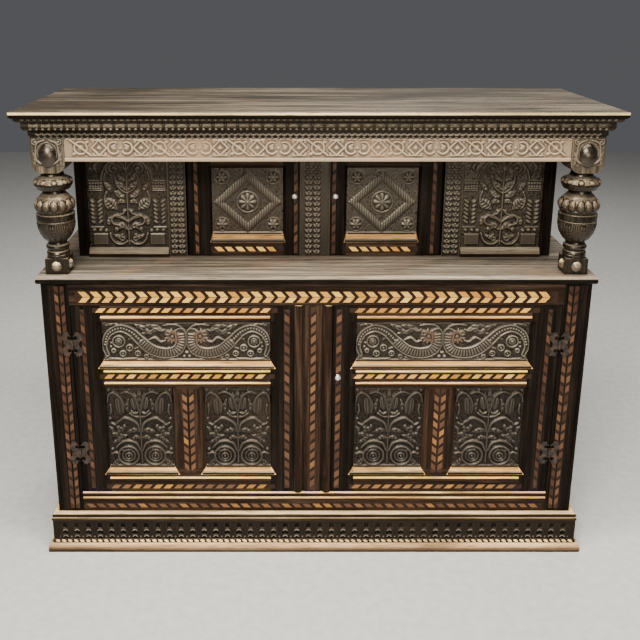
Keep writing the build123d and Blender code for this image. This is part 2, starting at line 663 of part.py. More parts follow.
# Sides of the stage: a rail above and below a panel, from the end stile back to the back boards.
stage_side_x = (STAGE_HALF - STAGE_SIDE_THICKNESS, STAGE_HALF)
stage_side_y = (STAGE_FRONT + STAGE_STILE_DEPTH, BACK_INSIDE)
stage_side_levels = [(SHELF_TOP, SHELF_TOP + STAGE_SIDE_RAIL), (CUPBOARD_HEAD, TOP_BASE)]
stage_side_mid = (stage_side_x[0] + stage_side_x[1]) / 2
stage_side_panel = block(
    (stage_side_mid - STAGE_SIDE_PANEL / 2, stage_side_mid + STAGE_SIDE_PANEL / 2),
    (stage_side_y[0] - GROOVE_DEPTH, stage_side_y[1]),
    (stage_side_levels[0][1] - GROOVE_DEPTH, stage_side_levels[1][0] + GROOVE_DEPTH),
)
end_stile -= stage_side_panel
stage_side_rails = [block(stage_side_x, stage_side_y, level) for level in stage_side_levels]
stage_side_rails = [rail - stage_side_panel for rail in stage_side_rails]
stage_back_post_x = (CANOPY_HALF - STAGE_BACK_POST, CANOPY_HALF)
BACK_POST_DEPTH = 40.0
stage_back_post = block(stage_back_post_x, (BACK - BACK_POST_DEPTH, BACK), (SHELF_TOP, TOP_BASE))
stage_back_span = (-stage_back_post_x[0], stage_back_post_x[0])
stage_back_boards = row_of_boards(
    BACK_BOARD_COUNT, 0, stage_back_span, [(BACK_INSIDE, BACK), (SHELF_TOP, TOP_BASE)]
)

nodes["stage_end_stiles"] = pair(end_stile)
nodes["stage_top_rail"] = [stage_top_rail]
nodes["nulled_muntin_centre"] = [centre_stage_muntin]
nodes["nulled_muntins_outer"] = pair(side_muntin)
nodes["stage_sills"] = pair(stage_sill)
nodes["stage_carved_panels"] = pair(fixed_panel)
nodes["stage_side_rails"] = stage_side_rails + [other_side(rail) for rail in stage_side_rails]
nodes["stage_side_panels"] = pair(stage_side_panel)
nodes["stage_back_posts"] = pair(stage_back_post)
nodes["stage_back_boards"] = stage_back_boards

# --- Canopy: frieze, cornice and top boards -------------------------------------------------------
frieze_x = CANOPY_HALF - CORNER_BLOCK
nodes["frieze_front"] = [
    block((-frieze_x, frieze_x), (FRONT, FRONT + FRIEZE_THICKNESS), (FRIEZE_BASE, TOP_BASE))
]
nodes["frieze_sides"] = pair(
    block(
        (CANOPY_HALF - FRIEZE_THICKNESS, CANOPY_HALF),
        (face_y[1], BACK - BACK_POST_DEPTH),
        (FRIEZE_BASE, TOP_BASE),
    )
)


def cornice_at(out, up):
    """A point of the cornice's profile, from its shares of the projection and the height."""
    return (out * CORNICE_PROJECTION, CORNICE_BASE + up * CORNICE_HEIGHT)


def cornice_face(out, start, end):
    """The lower and upper ends of one upright face of the cornice."""
    return [cornice_at(out, start), cornice_at(out, end)]


upper_foot, upper_head = cornice_face(*UPPER_FASCIA)
lip_foot, lip_head = cornice_face(*CORNICE_LIP)
cornice_profile = outline(
    (0, CORNICE_BASE),
    *cornice_face(*CORNICE_BED),
    *cornice_face(*LOWER_FASCIA),
    (cornice_at(*CORNICE_COVE), upper_foot),
    upper_head,
    (cornice_at(*CORNICE_OVOLO), lip_foot),
    lip_head,
    (0, TOP_BASE),
)
nodes["cornice"] = mitred_run(cornice_profile, CANOPY_HALF, FRONT, BACK)
TOP_CHAMFER = 6.0
top_slab = block((-TOP_HALF, TOP_HALF), (-TOTAL_DEPTH / 2, BACK), (TOP_BASE, TOTAL_HEIGHT))
under_edges = top_slab.faces().sort_by(Axis.Z)[0].edges()
under_front = under_edges.filter_by(Axis.X).sort_by(Axis.Y)[:1]
top_slab = chamfer(under_front + under_edges.filter_by(Axis.Y), TOP_CHAMFER)
nodes["top_boards"] = [
    top_slab & slab
    for slab in row_of_boards(
        TOP_BOARD_COUNT, 1, (-TOTAL_DEPTH / 2, BACK), [(-TOP_HALF, TOP_HALF), (TOP_BASE, TOTAL_HEIGHT)]
    )
]


# --- Doors ----------------------------------------------------------------------------------------
def housed(members, insert):
    """Cut the groove or mortise that holds an insert in each member."""
    return {name: member - insert for name, member in members.items()}


def lower_door(width):
    """A lower door, hinged at x = 0 and reaching to x = width. Front face at FRONT."""
    low, high = DOOR_BASE + DOOR_GAP, DOOR_HEAD - DOOR_GAP
    thick = (FRONT, FRONT + DOOR_THICKNESS)
    inner = (HINGE_STILE, width - MEETING_STILE)
    panel_y = (FRONT + PANEL_SETBACK, FRONT + PANEL_SETBACK + PANEL_THICKNESS)
    tongue_y = FRONT + PANEL_SETBACK + PANEL_THICKNESS / 2
    # Rail faces, from the top down; the mouldings beside each panel are cut out of rails and stiles.
    mid_top = high - DOOR_TOP_RAIL - UPPER_PANEL_HEIGHT
    mid_low = mid_top - DOOR_MID_RAIL
    bottom_top = low + DOOR_BOTTOM_RAIL
    upper_z = (mid_top + MOULD_SILL, high - DOOR_TOP_RAIL - MOULD_TOP)
    lower_z = (bottom_top + MOULD_SILL, mid_low - MOULD_SIDE / 2)
    middle = (inner[0] + inner[1]) / 2
    muntin = (middle - DOOR_MUNTIN / 2, middle + DOOR_MUNTIN / 2)
    openings = [
        ((inner[0] + MOULD_SIDE, inner[1] - MOULD_SIDE), upper_z, MOULD_TOP),
        ((inner[0] + MOULD_SIDE, muntin[0] - MOULD_SIDE), lower_z, MOULD_SIDE / 2),
        ((muntin[1] + MOULD_SIDE, inner[1] - MOULD_SIDE), lower_z, MOULD_SIDE / 2),
    ]
    edge = MOULD_SIDE
    shoulder = (inner[0] + edge, inner[1] - edge)
    top_profile = beaded(*thick, (upper_z[1], high), high, DOOR_TOP_BEADS)
    middle_profile = beaded(*thick, (lower_z[1], upper_z[0]), mid_top, MID_RAIL_BEADS)
    bottom_profile = beaded(*thick, (low, lower_z[0]), bottom_top, DOOR_BOTTOM_BEADS)
    members = {
        "hinge_stile": block((0, shoulder[0]), thick, (low, high)),
        "meeting_stile": block((shoulder[1], width), thick, (low, high)),
        "top_rail": along_x(top_profile, *shoulder),
        "middle_rail": along_x(middle_profile, *shoulder),
        "bottom_rail": along_x(bottom_profile, *shoulder),
        "muntin": block((muntin[0] - edge, muntin[1] + edge), thick, lower_z),
    }
    tongues = {
        "top_rail": (high - DOOR_TOP_RAIL + GROOVE_DEPTH, high - TENON_SHOULDER),
        "middle_rail": (mid_low, mid_top),
        "bottom_rail": (low + TENON_SHOULDER, bottom_top),
    }
    for rail, level in tongues.items():
        tongue = tenon_x(shoulder[0] - TENON_LENGTH, shoulder[1] + TENON_LENGTH, tongue_y, level)
        members["hinge_stile"] -= tongue
        members["meeting_stile"] -= tongue
        members[rail] += tongue
    tongue = block(
        (muntin[0], muntin[1]),
        (tongue_y - TENON_THICKNESS / 2, tongue_y + TENON_THICKNESS / 2),
        (lower_z[0] - SHORT_TENON, lower_z[1] + SHORT_TENON),
    )
    members["middle_rail"] -= tongue
    members["bottom_rail"] -= tongue
    members["muntin"] += tongue
    panels = []
    for across, level, top in openings:
        panel = block(
            (across[0] - GROOVE_DEPTH, across[1] + GROOVE_DEPTH),
            panel_y,
            (level[0] - GROOVE_DEPTH, level[1] + GROOVE_DEPTH),
        )
        members = housed(members, panel)
        members = housed(members, splay(across, level, FRONT, PANEL_SETBACK, MOULD_SIDE, top, MOULD_SILL))
        panels.append(panel)
    return members, panels


def upper_door():
    """A cupboard door of the stage, its hanging edge rounded about the pivot at x = 0, y = middle."""
    thick = (STAGE_FRONT, STAGE_FRONT + CUPBOARD_DOOR_THICKNESS)
    radius = CUPBOARD_DOOR_THICKNESS / 2
    width = CUPBOARD_DOOR_WIDTH - 2 * CUPBOARD_GAP - radius
    low, high = SHELF_TOP + CUPBOARD_GAP, CUPBOARD_HEAD - CUPBOARD_GAP
    inner = (CUPBOARD_HINGE_STILE - radius, width - CUPBOARD_MEETING_STILE)
    shoulder = (inner[0] + CUPBOARD_MOULD, inner[1] - CUPBOARD_MOULD)
    opening_z = (low + CUPBOARD_BOTTOM_RAIL + CUPBOARD_SILL, high - CUPBOARD_TOP_RAIL - CUPBOARD_MOULD)
    panel_y = (STAGE_FRONT + CUPBOARD_SETBACK, STAGE_FRONT + CUPBOARD_SETBACK + CUPBOARD_PANEL_THICKNESS)
    tongue_y = (panel_y[0] + panel_y[1]) / 2
    half_round = Pos(0, thick[0] + radius, (low + high) / 2) * Cylinder(radius, high - low)
    members = {
        "hinge_stile": block((0, shoulder[0]), thick, (low, high)) + half_round,
        "meeting_stile": block((shoulder[1], width), thick, (low, high)),
        "top_rail": block(shoulder, thick, (opening_z[1], high)),
        "bottom_rail": block(shoulder, thick, (low, opening_z[0])),
    }
    tongues = {
        "top_rail": (opening_z[1] + CUPBOARD_MOULD, high - TENON_SHOULDER),
        "bottom_rail": (low + TENON_SHOULDER, opening_z[0] - CUPBOARD_SILL),
    }
    for rail, level in tongues.items():
        tongue = block(
            (shoulder[0] - CUPBOARD_TENON, shoulder[1] + CUPBOARD_TENON),
            (tongue_y - CUPBOARD_PANEL_THICKNESS / 2, tongue_y + CUPBOARD_PANEL_THICKNESS / 2),
            level,
        )
        members["hinge_stile"] -= tongue
        members["meeting_stile"] -= tongue
        members[rail] += tongue
    panel = block(
        (shoulder[0] - GROOVE_DEPTH, shoulder[1] + GROOVE_DEPTH),
        panel_y,
        (opening_z[0] - GROOVE_DEPTH, opening_z[1] + GROOVE_DEPTH),
    )
    members = housed(members, panel)
    mould = CUPBOARD_MOULD
    void = splay(shoulder, opening_z, STAGE_FRONT, CUPBOARD_SETBACK, mould, mould, CUPBOARD_SILL)
    return housed(members, void), panel


# --- Knobs and catches ----------------------------------------------------------------------------
def turned_knob(face_y, through):
    """A knob in front of face_y, on a spindle that runs back by through."""
    collar = KNOB_COLLAR * KNOB_RADIUS
    turning = [(radius * KNOB_RADIUS, -share * KNOB_LENGTH) for share, radius in KNOB_NECK + KNOB_BULB]
    profile = outline(
        (0, through),
        (SPINDLE_RADIUS, through),
        (SPINDLE_RADIUS, -KNUCKLE_GAP),
        (collar, -KNUCKLE_GAP),
        *turning,
        (KNOB_TIP_FLAT, -KNOB_LENGTH),
        (0, -KNOB_LENGTH),
    )
    return Pos(0, face_y, 0) * revolve(profile, axis=Axis.Y)


def hanging_tongue(y0):
    """The catch behind the door: an oak tongue that hangs from the spindle."""
    eye = Pos(0, y0 + CATCH_THICKNESS / 2, 0) * Rot(90, 0, 0) * Cylinder(CATCH_WIDTH / 2, CATCH_THICKNESS)
    arm = block((-CATCH_WIDTH / 2, CATCH_WIDTH / 2), (y0, y0 + CATCH_THICKNESS), (-CATCH_LENGTH, 0))
    bore = Pos(0, y0 + CATCH_THICKNESS / 2, 0) * Rot(90, 0, 0) * Cylinder(SPINDLE_RADIUS, CATCH_THICKNESS)
    return eye + arm - bore


def keyhole(face_y):
    """A lock's keyhole: a round with a slot below it, sunk from face_y."""
    hole = Circle(KEYHOLE_RADIUS) + Pos(0, -KEYHOLE_DROP / 2) * Rectangle(KEYHOLE_SLOT, KEYHOLE_DROP)
    face = Plane(origin=(0, face_y, 0), x_dir=(1, 0, 0), z_dir=(0, -1, 0))
    return extrude(face * hole, amount=-KEYHOLE_DEPTH)


def spindle_hole(face_y, thickness):
    """The hole that a spindle turns in, cut through a stile."""
    hole = Rot(90, 0, 0) * Cylinder(SPINDLE_RADIUS + PIN_CLEARANCE, thickness)
    return Pos(0, face_y + thickness / 2, 0) * hole


# --- Cock's-head hinges ---------------------------------------------------------------------------
def cocks_head_leaf():
    """One flat leaf, its knuckle edge at x = 0 and its middle at y = 0: a cock's head up and one down."""
    root = 1.5 * KNUCKLE_PITCH
    tall = LEAF_HEIGHT / 2 - root

    def at(across, up):
        """A point above the root, from shares of the leaf's reach and of the head's height."""
        return (across * LEAF_REACH, root + up * tall)

    head = outline(
        (0, 0),
        (0, root),
        at(0.32, 0.00),
        (at(0.50, 0.12), at(0.50, 0.38)),     # the throat
        at(0.38, 0.34),                       # the wattle
        at(0.42, 0.50),
        at(0.06, 0.34),                       # the point of the beak
        at(0.30, 0.72),                       # the brow
        at(0.34, 1.00),                       # three points of the comb
        at(0.48, 0.84),
        at(0.62, 1.00),
        at(0.68, 0.78),
        at(0.88, 0.84),
        at(0.82, 0.60),
        (at(1.00, 0.20), at(0.74, -0.20)),    # the back of the neck
        (LEAF_ROOT, 0),
    )
    return head + mirror(head, about=Plane.XZ)


def hinge_leaf(on_door):
    """A leaf with its knuckles on the z axis. The wood's face lies behind them, past a small gap."""
    wood = KNUCKLE_RADIUS + KNUCKLE_GAP
    plate_plane = Plane(origin=(0, wood, 0), x_dir=(1, 0, 0), z_dir=(0, -1, 0))
    plate = extrude(plate_plane * cocks_head_leaf(), amount=LEAF_THICKNESS)
    plate &= block((LEAF_CLEAR, LEAF_REACH + CLEAR), (-CLEAR, CLEAR), (-CLEAR, CLEAR))
    levels = [0.0] if on_door else [-KNUCKLE_PITCH, KNUCKLE_PITCH]
    others = [-KNUCKLE_PITCH, KNUCKLE_PITCH] if on_door else [0.0]
    bore = HINGE_PIN_RADIUS + (PIN_CLEARANCE if on_door else 0.0)
    for z in others:
        plate -= Pos(0, 0, z) * Cylinder(KNUCKLE_RADIUS + 2 * KNUCKLE_GAP, KNUCKLE_PITCH + KNUCKLE_GAP)
    for z in levels:
        plate += Pos(0, 0, z) * Cylinder(KNUCKLE_RADIUS, KNUCKLE_PITCH - KNUCKLE_GAP)
    plate -= Cylinder(bore, CLEAR)
    if not on_door:
        plate = mirror(plate, about=Plane.YZ)
    return plate


door_leaf = hinge_leaf(True)
post_leaf = hinge_leaf(False)
hinge_pin = Cylinder(HINGE_PIN_RADIUS, 3 * KNUCKLE_PITCH + 2 * PIN_END)
HINGE_AXIS_Y = FRONT - KNUCKLE_RADIUS - KNUCKLE_GAP
HINGE_AXIS_X = OPENING_HALF - DOOR_GAP / 2
HINGE_LEVELS = (DOOR_HEAD - HINGE_FROM_TOP, DOOR_BASE + HINGE_FROM_BOTTOM)


def add_members(door, members, flip, place):
    """Put a door's stiles in one node, its rails in another and any muntin in a third."""
    for name, member in members.items():
        group = "stiles" if name.endswith("stile") else "rails" if name.endswith("rail") else name
        nodes.setdefault(f"{door}_{group}", []).append(flip(place * member))


# --- Place the lower doors ------------------------------------------------------------------------
post_leaves = []
pins = []
for side in ("left", "right"):
    flip = other_side if side == "right" else (lambda shape: shape)
    edge_to_muntin = OPENING_HALF + MUNTIN_LEFT if side == "left" else OPENING_HALF - MUNTIN_RIGHT
    width = edge_to_muntin - 2 * DOOR_GAP
    place = Pos(-OPENING_HALF + DOOR_GAP, 0, 0)
    members, panels = lower_door(width)
    leaves = []
    for level in HINGE_LEVELS:
        at_hinge = Pos(-HINGE_AXIS_X, HINGE_AXIS_Y, level)
        leaves.append(flip(at_hinge * door_leaf))
        post_leaves.append(flip(at_hinge * post_leaf))
        pins.append(flip(at_hinge * hinge_pin))
    if side == "right":
        knob_at = Pos(width - LOWER_KNOB_FROM_EDGE, 0, DOOR_HEAD - LOWER_KNOB_BELOW_TOP)
        tongue_y = FRONT + RAIL_THICKNESS + CATCH_CLEARANCE
        through = RAIL_THICKNESS + CATCH_CLEARANCE + CATCH_THICKNESS
        members["meeting_stile"] -= knob_at * spindle_hole(FRONT, DOOR_THICKNESS)
        nodes["lower_knob"] = [flip(place * knob_at * turned_knob(FRONT, through))]
        nodes["lower_catch"] = [flip(place * knob_at * hanging_tongue(tongue_y))]
    add_members(f"lower_door_{side}", members, flip, place)
    nodes[f"lower_door_{side}_panels"] = [flip(place * panel) for panel in panels]
    nodes[f"hinge_leaves_door_{side}"] = leaves
nodes["hinge_leaves_posts"] = post_leaves
nodes["hinge_pins"] = pins

# --- Place the upper doors ------------------------------------------------------------------------
pivot_x = hinge_edge - CUPBOARD_GAP - CUPBOARD_DOOR_THICKNESS / 2
pivot_y = STAGE_FRONT + CUPBOARD_DOOR_THICKNESS / 2
upper_width = CUPBOARD_DOOR_WIDTH - 2 * CUPBOARD_GAP - CUPBOARD_DOOR_THICKNESS / 2
pivot_levels = (
    (SHELF_TOP + CUPBOARD_GAP + PIVOT_IN_DOOR, SHELF_TOP - PIVOT_IN_SOCKET),
    (CUPBOARD_HEAD - CUPBOARD_GAP - PIVOT_IN_DOOR, CUPBOARD_HEAD + PIVOT_IN_SOCKET),
)
for side in ("left", "right"):
    flip = other_side if side == "right" else (lambda shape: shape)
    place = Pos(-pivot_x, 0, 0)
    members, panel = upper_door()
    pivots = []
    for start, end in pivot_levels:
        low, high = sorted((start, end))
        pin_at = Pos(0, pivot_y, (low + high) / 2)
        pin = Cylinder(PIVOT_RADIUS, high - low)
        members["hinge_stile"] -= pin_at * pin
        pivots.append(flip(place * pin_at * pin))
        socket = flip(place * pin_at * Cylinder(PIVOT_RADIUS + PIN_CLEARANCE, high - low + OVERCUT))
        nodes["stage_top_rail"] = [rail - socket for rail in nodes["stage_top_rail"]]
        middle_boards = [board - socket for board in middle_boards]
    knob_at = Pos(upper_width - UPPER_KNOB_FROM_EDGE, 0, CUPBOARD_HEAD - UPPER_KNOB_BELOW_TOP)
    tongue_y = STAGE_FRONT + STAGE_RAIL_THICKNESS + CATCH_CLEARANCE
    through = STAGE_RAIL_THICKNESS + CATCH_CLEARANCE + CATCH_THICKNESS
    members["meeting_stile"] -= knob_at * spindle_hole(STAGE_FRONT, CUPBOARD_DOOR_THICKNESS)
    if side == "right":
        key_x = upper_width - KEYHOLE_FROM_EDGE
        key_z = CUPBOARD_HEAD - UPPER_KNOB_BELOW_TOP - KEYHOLE_BELOW_KNOB
        members["meeting_stile"] -= Pos(key_x, 0, key_z) * keyhole(STAGE_FRONT)
    nodes[f"upper_knob_{side}"] = [flip(place * knob_at * turned_knob(STAGE_FRONT, through))]
    nodes[f"upper_catch_{side}"] = [flip(place * knob_at * hanging_tongue(tongue_y))]
    add_members(f"upper_door_{side}", members, flip, place)
    nodes[f"upper_door_{side}_panel"] = [flip(place * panel)]
    nodes[f"upper_door_{side}_pivots"] = pivots

spigot_sockets = Pos(COLUMN_X, COLUMN_Y, SHELF_TOP - SPIGOT_LENGTH / 2) * Cylinder(
    SPIGOT_RADIUS + SPIGOT_CLEARANCE, SPIGOT_LENGTH
)
spigot_sockets += other_side(spigot_sockets)
nodes["middle_board"] = [board - spigot_sockets for board in middle_boards]

# --- Write one STEP file for each node ------------------------------------------------------------
os.makedirs("parts", exist_ok=True)
for name, shapes in nodes.items():
    solids = [solid for shape in shapes for solid in shape.solids()]
    export_step(Compound(children=solids), f"parts/{name}.step")
    print(name, len(solids))
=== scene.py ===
"""Court cupboard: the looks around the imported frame. Lengths are millimetres until a mesh is made."""
import math

import bpy
import numpy as np
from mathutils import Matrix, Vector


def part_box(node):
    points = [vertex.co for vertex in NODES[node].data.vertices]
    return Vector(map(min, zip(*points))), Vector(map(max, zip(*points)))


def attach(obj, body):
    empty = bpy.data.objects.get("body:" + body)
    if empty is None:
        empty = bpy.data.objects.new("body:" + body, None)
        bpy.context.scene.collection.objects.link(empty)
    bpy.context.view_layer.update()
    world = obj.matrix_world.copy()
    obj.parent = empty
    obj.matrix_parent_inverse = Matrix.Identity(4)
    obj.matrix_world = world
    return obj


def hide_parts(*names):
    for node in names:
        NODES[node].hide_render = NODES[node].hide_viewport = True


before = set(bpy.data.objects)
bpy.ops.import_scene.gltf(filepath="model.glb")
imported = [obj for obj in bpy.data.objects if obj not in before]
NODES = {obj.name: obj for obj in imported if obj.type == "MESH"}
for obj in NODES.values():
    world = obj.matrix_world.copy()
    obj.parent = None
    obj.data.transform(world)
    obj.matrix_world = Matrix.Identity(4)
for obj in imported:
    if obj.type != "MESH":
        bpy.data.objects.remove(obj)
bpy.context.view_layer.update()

SEED = 1650
rng = np.random.default_rng(SEED)
MM = 0.001
X, Y, Z = 0, 1, 2


# --- Places that the frame gives ---
def low(node):
    """A CAD node's lowest corner."""
    return np.array(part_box(node)[0]) / MM


def high(node):
    """A CAD node's highest corner."""
    return np.array(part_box(node)[1]) / MM


FRONT = low("front_posts")[Y]
CARCASS_HALF = high("front_posts")[X]
STAGE_FRONT = low("stage_top_rail")[Y]
SHELF_TOP = high("middle_board")[Z]
BACK = high("back_posts")[Y]
DOOR_LOW = low("lower_door_left_stiles")[Z]
DOOR_HIGH = high("lower_door_left_stiles")[Z]
UPPER_DOOR_HIGH = high("upper_door_left_stiles")[Z]

# Sizes that the boxes don't give, as in the joinery.
HINGE_STILE = 76.0
MEETING_STILE = 58.0
DOOR_TOP_RAIL = 54.0
DOOR_MID_RAIL = 64.0
DOOR_BOTTOM_RAIL = 63.0
UPPER_PANEL_HEIGHT = 164.0
MID_RAIL_TOP = DOOR_HIGH - DOOR_TOP_RAIL - UPPER_PANEL_HEIGHT
DOOR_MUNTIN = 70.0
PANEL_SETBACK = 12.0
MOULD_SIDE = 18.0
MOULD_TOP = 7.0
MOULD_SILL = 25.0
UPPER_HINGE_STILE = 75.0
UPPER_MEETING_STILE = 45.0
UPPER_TOP_RAIL = 34.0
UPPER_BOTTOM_RAIL = 45.0
UPPER_SETBACK = 9.0
UPPER_MOULD = 8.0
UPPER_SILL = 30.0
FIXED_PANEL_SETBACK = 7.0
DOOR_GAP = 1.5
CORNICE_PROJECTION = 40.0
CORNICE_HEIGHT = 62.0
FOOT_HEIGHT = 40.0
HINGE_PIN = 783.0
HINGE_LEVELS = (754.0, 362.0)
HINGE_PLATE = 3.0


def door_span(door, side, hinge=0.0, meeting=0.0):
    """The x range of a door between an inset from its hinge edge and one from its meeting edge."""
    start, end = low(f"{door}_{side}_stiles")[X], high(f"{door}_{side}_stiles")[X]
    return (start + hinge, end - meeting) if side == "left" else (start + meeting, end - hinge)


# --- Materials ---
class Nodes:
    """A short way to add and link shader nodes."""

    def __init__(self, name):
        self.material = bpy.data.materials.new(name)
        self.material.use_nodes = True
        self.tree = self.material.node_tree
        self.shader = self.tree.nodes["Principled BSDF"]

    def add(self, kind, inputs=None, **settings):
        node = self.tree.nodes.new(kind)
        for key, value in settings.items():
            setattr(node, key, value)
        for key, value in (inputs or {}).items():
            self.put(node.inputs[key], value)
        return node

    def put(self, socket, value):
        """A value, a colour or a link, whichever the value is."""
        if isinstance(value, bpy.types.NodeSocket):
            self.tree.links.new(value, socket)
        elif socket.type == "RGBA":
            socket.default_value = (*value, 1.0)
        else:
            socket.default_value = value

    def link(self, out, socket):
        self.put(self.shader.inputs[socket], out)

    def attribute(self, name):
        return self.add("ShaderNodeAttribute", attribute_name=name).outputs["Fac"]

    def along(self, kind, axis):
        """One axis of the surface's place (Object) or of the way it faces (Normal), in its own frame."""
        vector = self.add("ShaderNodeTexCoord").outputs[kind]
        return self.add("ShaderNodeSeparateXYZ", {0: vector}).outputs[axis]

    def noise(self, scales, detail=4.0, roughness=0.55, distortion=0.0):
        place = self.add("ShaderNodeTexCoord").outputs["Object"]
        vector = self.add("ShaderNodeMapping", {"Vector": place, "Scale": scales}).outputs[0]
        settings = {"Vector": vector, "Scale": 1.0, "Detail": detail, "Roughness": roughness}
        return self.add("ShaderNodeTexNoise", {**settings, "Distortion": distortion}).outputs["Fac"]

    def ramp(self, factor, *stops):
        node = self.add("ShaderNodeValToRGB", {"Fac": factor})
        elements = node.color_ramp.elements
        while len(elements) < len(stops):
            elements.new(0.5)
        for element, (position, colour) in zip(elements, stops):
            element.position = position
            element.color = (*colour, 1.0)
        return node.outputs["Color"]

    def level(self, factor, low_in, high_in, low_out=0.0, high_out=1.0):
        settings = {0: factor, 1: low_in, 2: high_in, 3: low_out, 4: high_out}
        return self.add("ShaderNodeMapRange", settings).outputs[0]

    def join(self, first, second, operation="MULTIPLY"):
        return self.add("ShaderNodeMath", {0: first, 1: second}, operation=operation).outputs[0]

    def mix(self, factor, first, second):
        node = self.add("ShaderNodeMix", data_type="RGBA")
        for index, value in ((0, factor), (6, first), (7, second)):
            self.put(node.inputs[index], value)
        return node.outputs[2]

    def corners(self, reach):
        """How open the surface is: 0 deep in a corner, 1 in the open."""
        return self.add("ShaderNodeAmbientOcclusion", {"Distance": reach}, samples=6).outputs["AO"]

    def bump(self, heights, strength, distance):
        """Bumps on top of each other, one for each height."""
        normal = None
        for height in heights:
            settings = {"Height": height, "Strength": strength, "Distance": distance}
            if normal is not None:
                settings["Normal"] = normal
            normal = self.add("ShaderNodeBump", settings).outputs[0]
        self.link(normal, "Normal")

    def set(self, **values):
        for name, value in values.items():
            self.put(self.shader.inputs[name.replace("_", " ")], value)


def even(scale):
    return (scale, scale, scale)


def grained(axis, fine, coarse):
    """Texture scales that stretch a pattern along one axis."""
    scales = [fine, fine, fine]
    scales[axis] = coarse
    return scales


def shade(colour, share):
    return tuple(channel * share for channel in colour)


WAX_TINT = (1.0, 0.84, 0.66)
# The colour of painted shadow below a level.
PAINTED_SHADOW_COLOUR = (0.0016, 0.0010, 0.0007)
EDGE_BAND = (0.0003, 0.0006)


def off_the_door_tops(m):
    """0 on the doors' top edges, which are shut away from hands and light, and 1 elsewhere."""
    near, far = EDGE_BAND
    height = m.along("Object", Z)
    clear = 1.0
    for top in (DOOR_HIGH * MM, UPPER_DOOR_HIGH * MM):
        below = m.level(height, top - far, top - near, 1.0, 0.0)
        above = m.level(height, top + near, top + far)
        clear = m.join(clear, m.join(below, above, "MAXIMUM"))
    return clear


def oak(name, tones, axis, roughness=0.42, red=0.3, worn=None, worn_from=0.18, gloss=0.2, clouds=0.0,
        edge=None, dark_below=None):
    """Old waxed oak. tones are its dark, middle and light, and its grain runs along an axis.

    Corners are darkened, partly by dark wax and partly by painted shade, and some patches are redder. Slopes
    that face up get the first of two colours and level rounds the second, wear partly and painted highlight
    partly. A board's upright edge may have a colour of its own, and what lies below a level gets painted
    shadow.
    """
    dark, middle, light = tones
    m = Nodes(name)
    upward = m.along("Normal", Z)
    grain = m.noise(grained(axis, fine=70.0, coarse=2.2), detail=6.0, roughness=0.62, distortion=0.5)
    fleck = m.noise(grained(axis, fine=190.0, coarse=22.0), detail=3.0, roughness=0.5)
    pores = m.noise(grained(axis, fine=480.0, coarse=16.0), detail=3.0, roughness=0.6)
    patches = m.noise(even(5.0), detail=3.0, roughness=0.55, distortion=0.8)
    cloud = m.noise(grained(axis, fine=9.0, coarse=1.4), detail=4.0, roughness=0.6, distortion=0.6)
    wood = m.ramp(grain, (0.32, dark), (0.50, middle), (0.70, light))
    wood = m.mix(m.level(fleck, 0.58, 0.72, 0.0, 0.35), wood, light)
    wood = m.mix(m.level(cloud, 0.44, 0.60, 0.0, clouds), wood, dark)
    warm = (middle[0] * 1.9, middle[1] * 1.25, middle[2] * 1.0)
    wood = m.mix(m.level(patches, 0.46, 0.66, 0.0, red), wood, warm)
    # Up-facing slopes and level rounds get lighter colours: wear partly, painted highlight partly.
    if worn:
        slope, level = worn
        wear_and_highlight_colour = m.mix(m.level(upward, 0.55, 0.92), slope, level)
        wear_and_highlight_colour = m.mix(m.level(grain, 0.50, 0.64, 0.0, 0.9), wear_and_highlight_colour, level)
        wear_and_highlight_colour = m.mix(m.level(grain, 0.48, 0.36, 0.0, 0.5), wear_and_highlight_colour, shade(slope, 0.40))
        wear_and_highlight_colour = m.mix(m.level(cloud, 0.50, 0.66, 0.0, 0.8), wear_and_highlight_colour, shade(slope, 0.25))
        share = m.join(m.level(upward, worn_from, worn_from + 0.17), m.level(patches, 0.3, 0.5, 0.75))
        wood = m.mix(m.join(share, off_the_door_tops(m)), wood, wear_and_highlight_colour)
    if edge:
        rim = m.join(m.level(upward, 0.20, 0.45, 1.0, 0.0), m.level(m.along("Normal", Y), 0.5, 0.9, 1.0, 0.0))
        wood = m.mix(rim, wood, m.mix(m.level(grain, 0.60, 0.36), edge, shade(edge, 0.45)))
    # Painted shadow below a level: under the top's and the shelf's front edges, and along the foot at the
    # floor.
    if dark_below:
        wood = m.mix(m.level(m.along("Object", Z), *dark_below, 1.0, 0.0), wood, PAINTED_SHADOW_COLOUR)
    wood = m.mix(m.level(pores, 0.34, 0.46, 0.7, 0.0), wood, shade(dark, 0.4))
    # Painted shade in corners, partly dark wax.
    wood = m.mix(m.level(m.corners(0.010), 0.30, 0.90, 0.92, 0.0), wood, shade(dark, 0.3))
    m.link(wood, "Base Color")
    m.link(m.level(grain, 0.3, 0.75, roughness - 0.08, roughness + 0.12), "Roughness")
    m.set(Specular_IOR_Level=gloss, Specular_Tint=WAX_TINT)
    m.bump([pores, grain], 0.4, 0.0006)
    return m.material


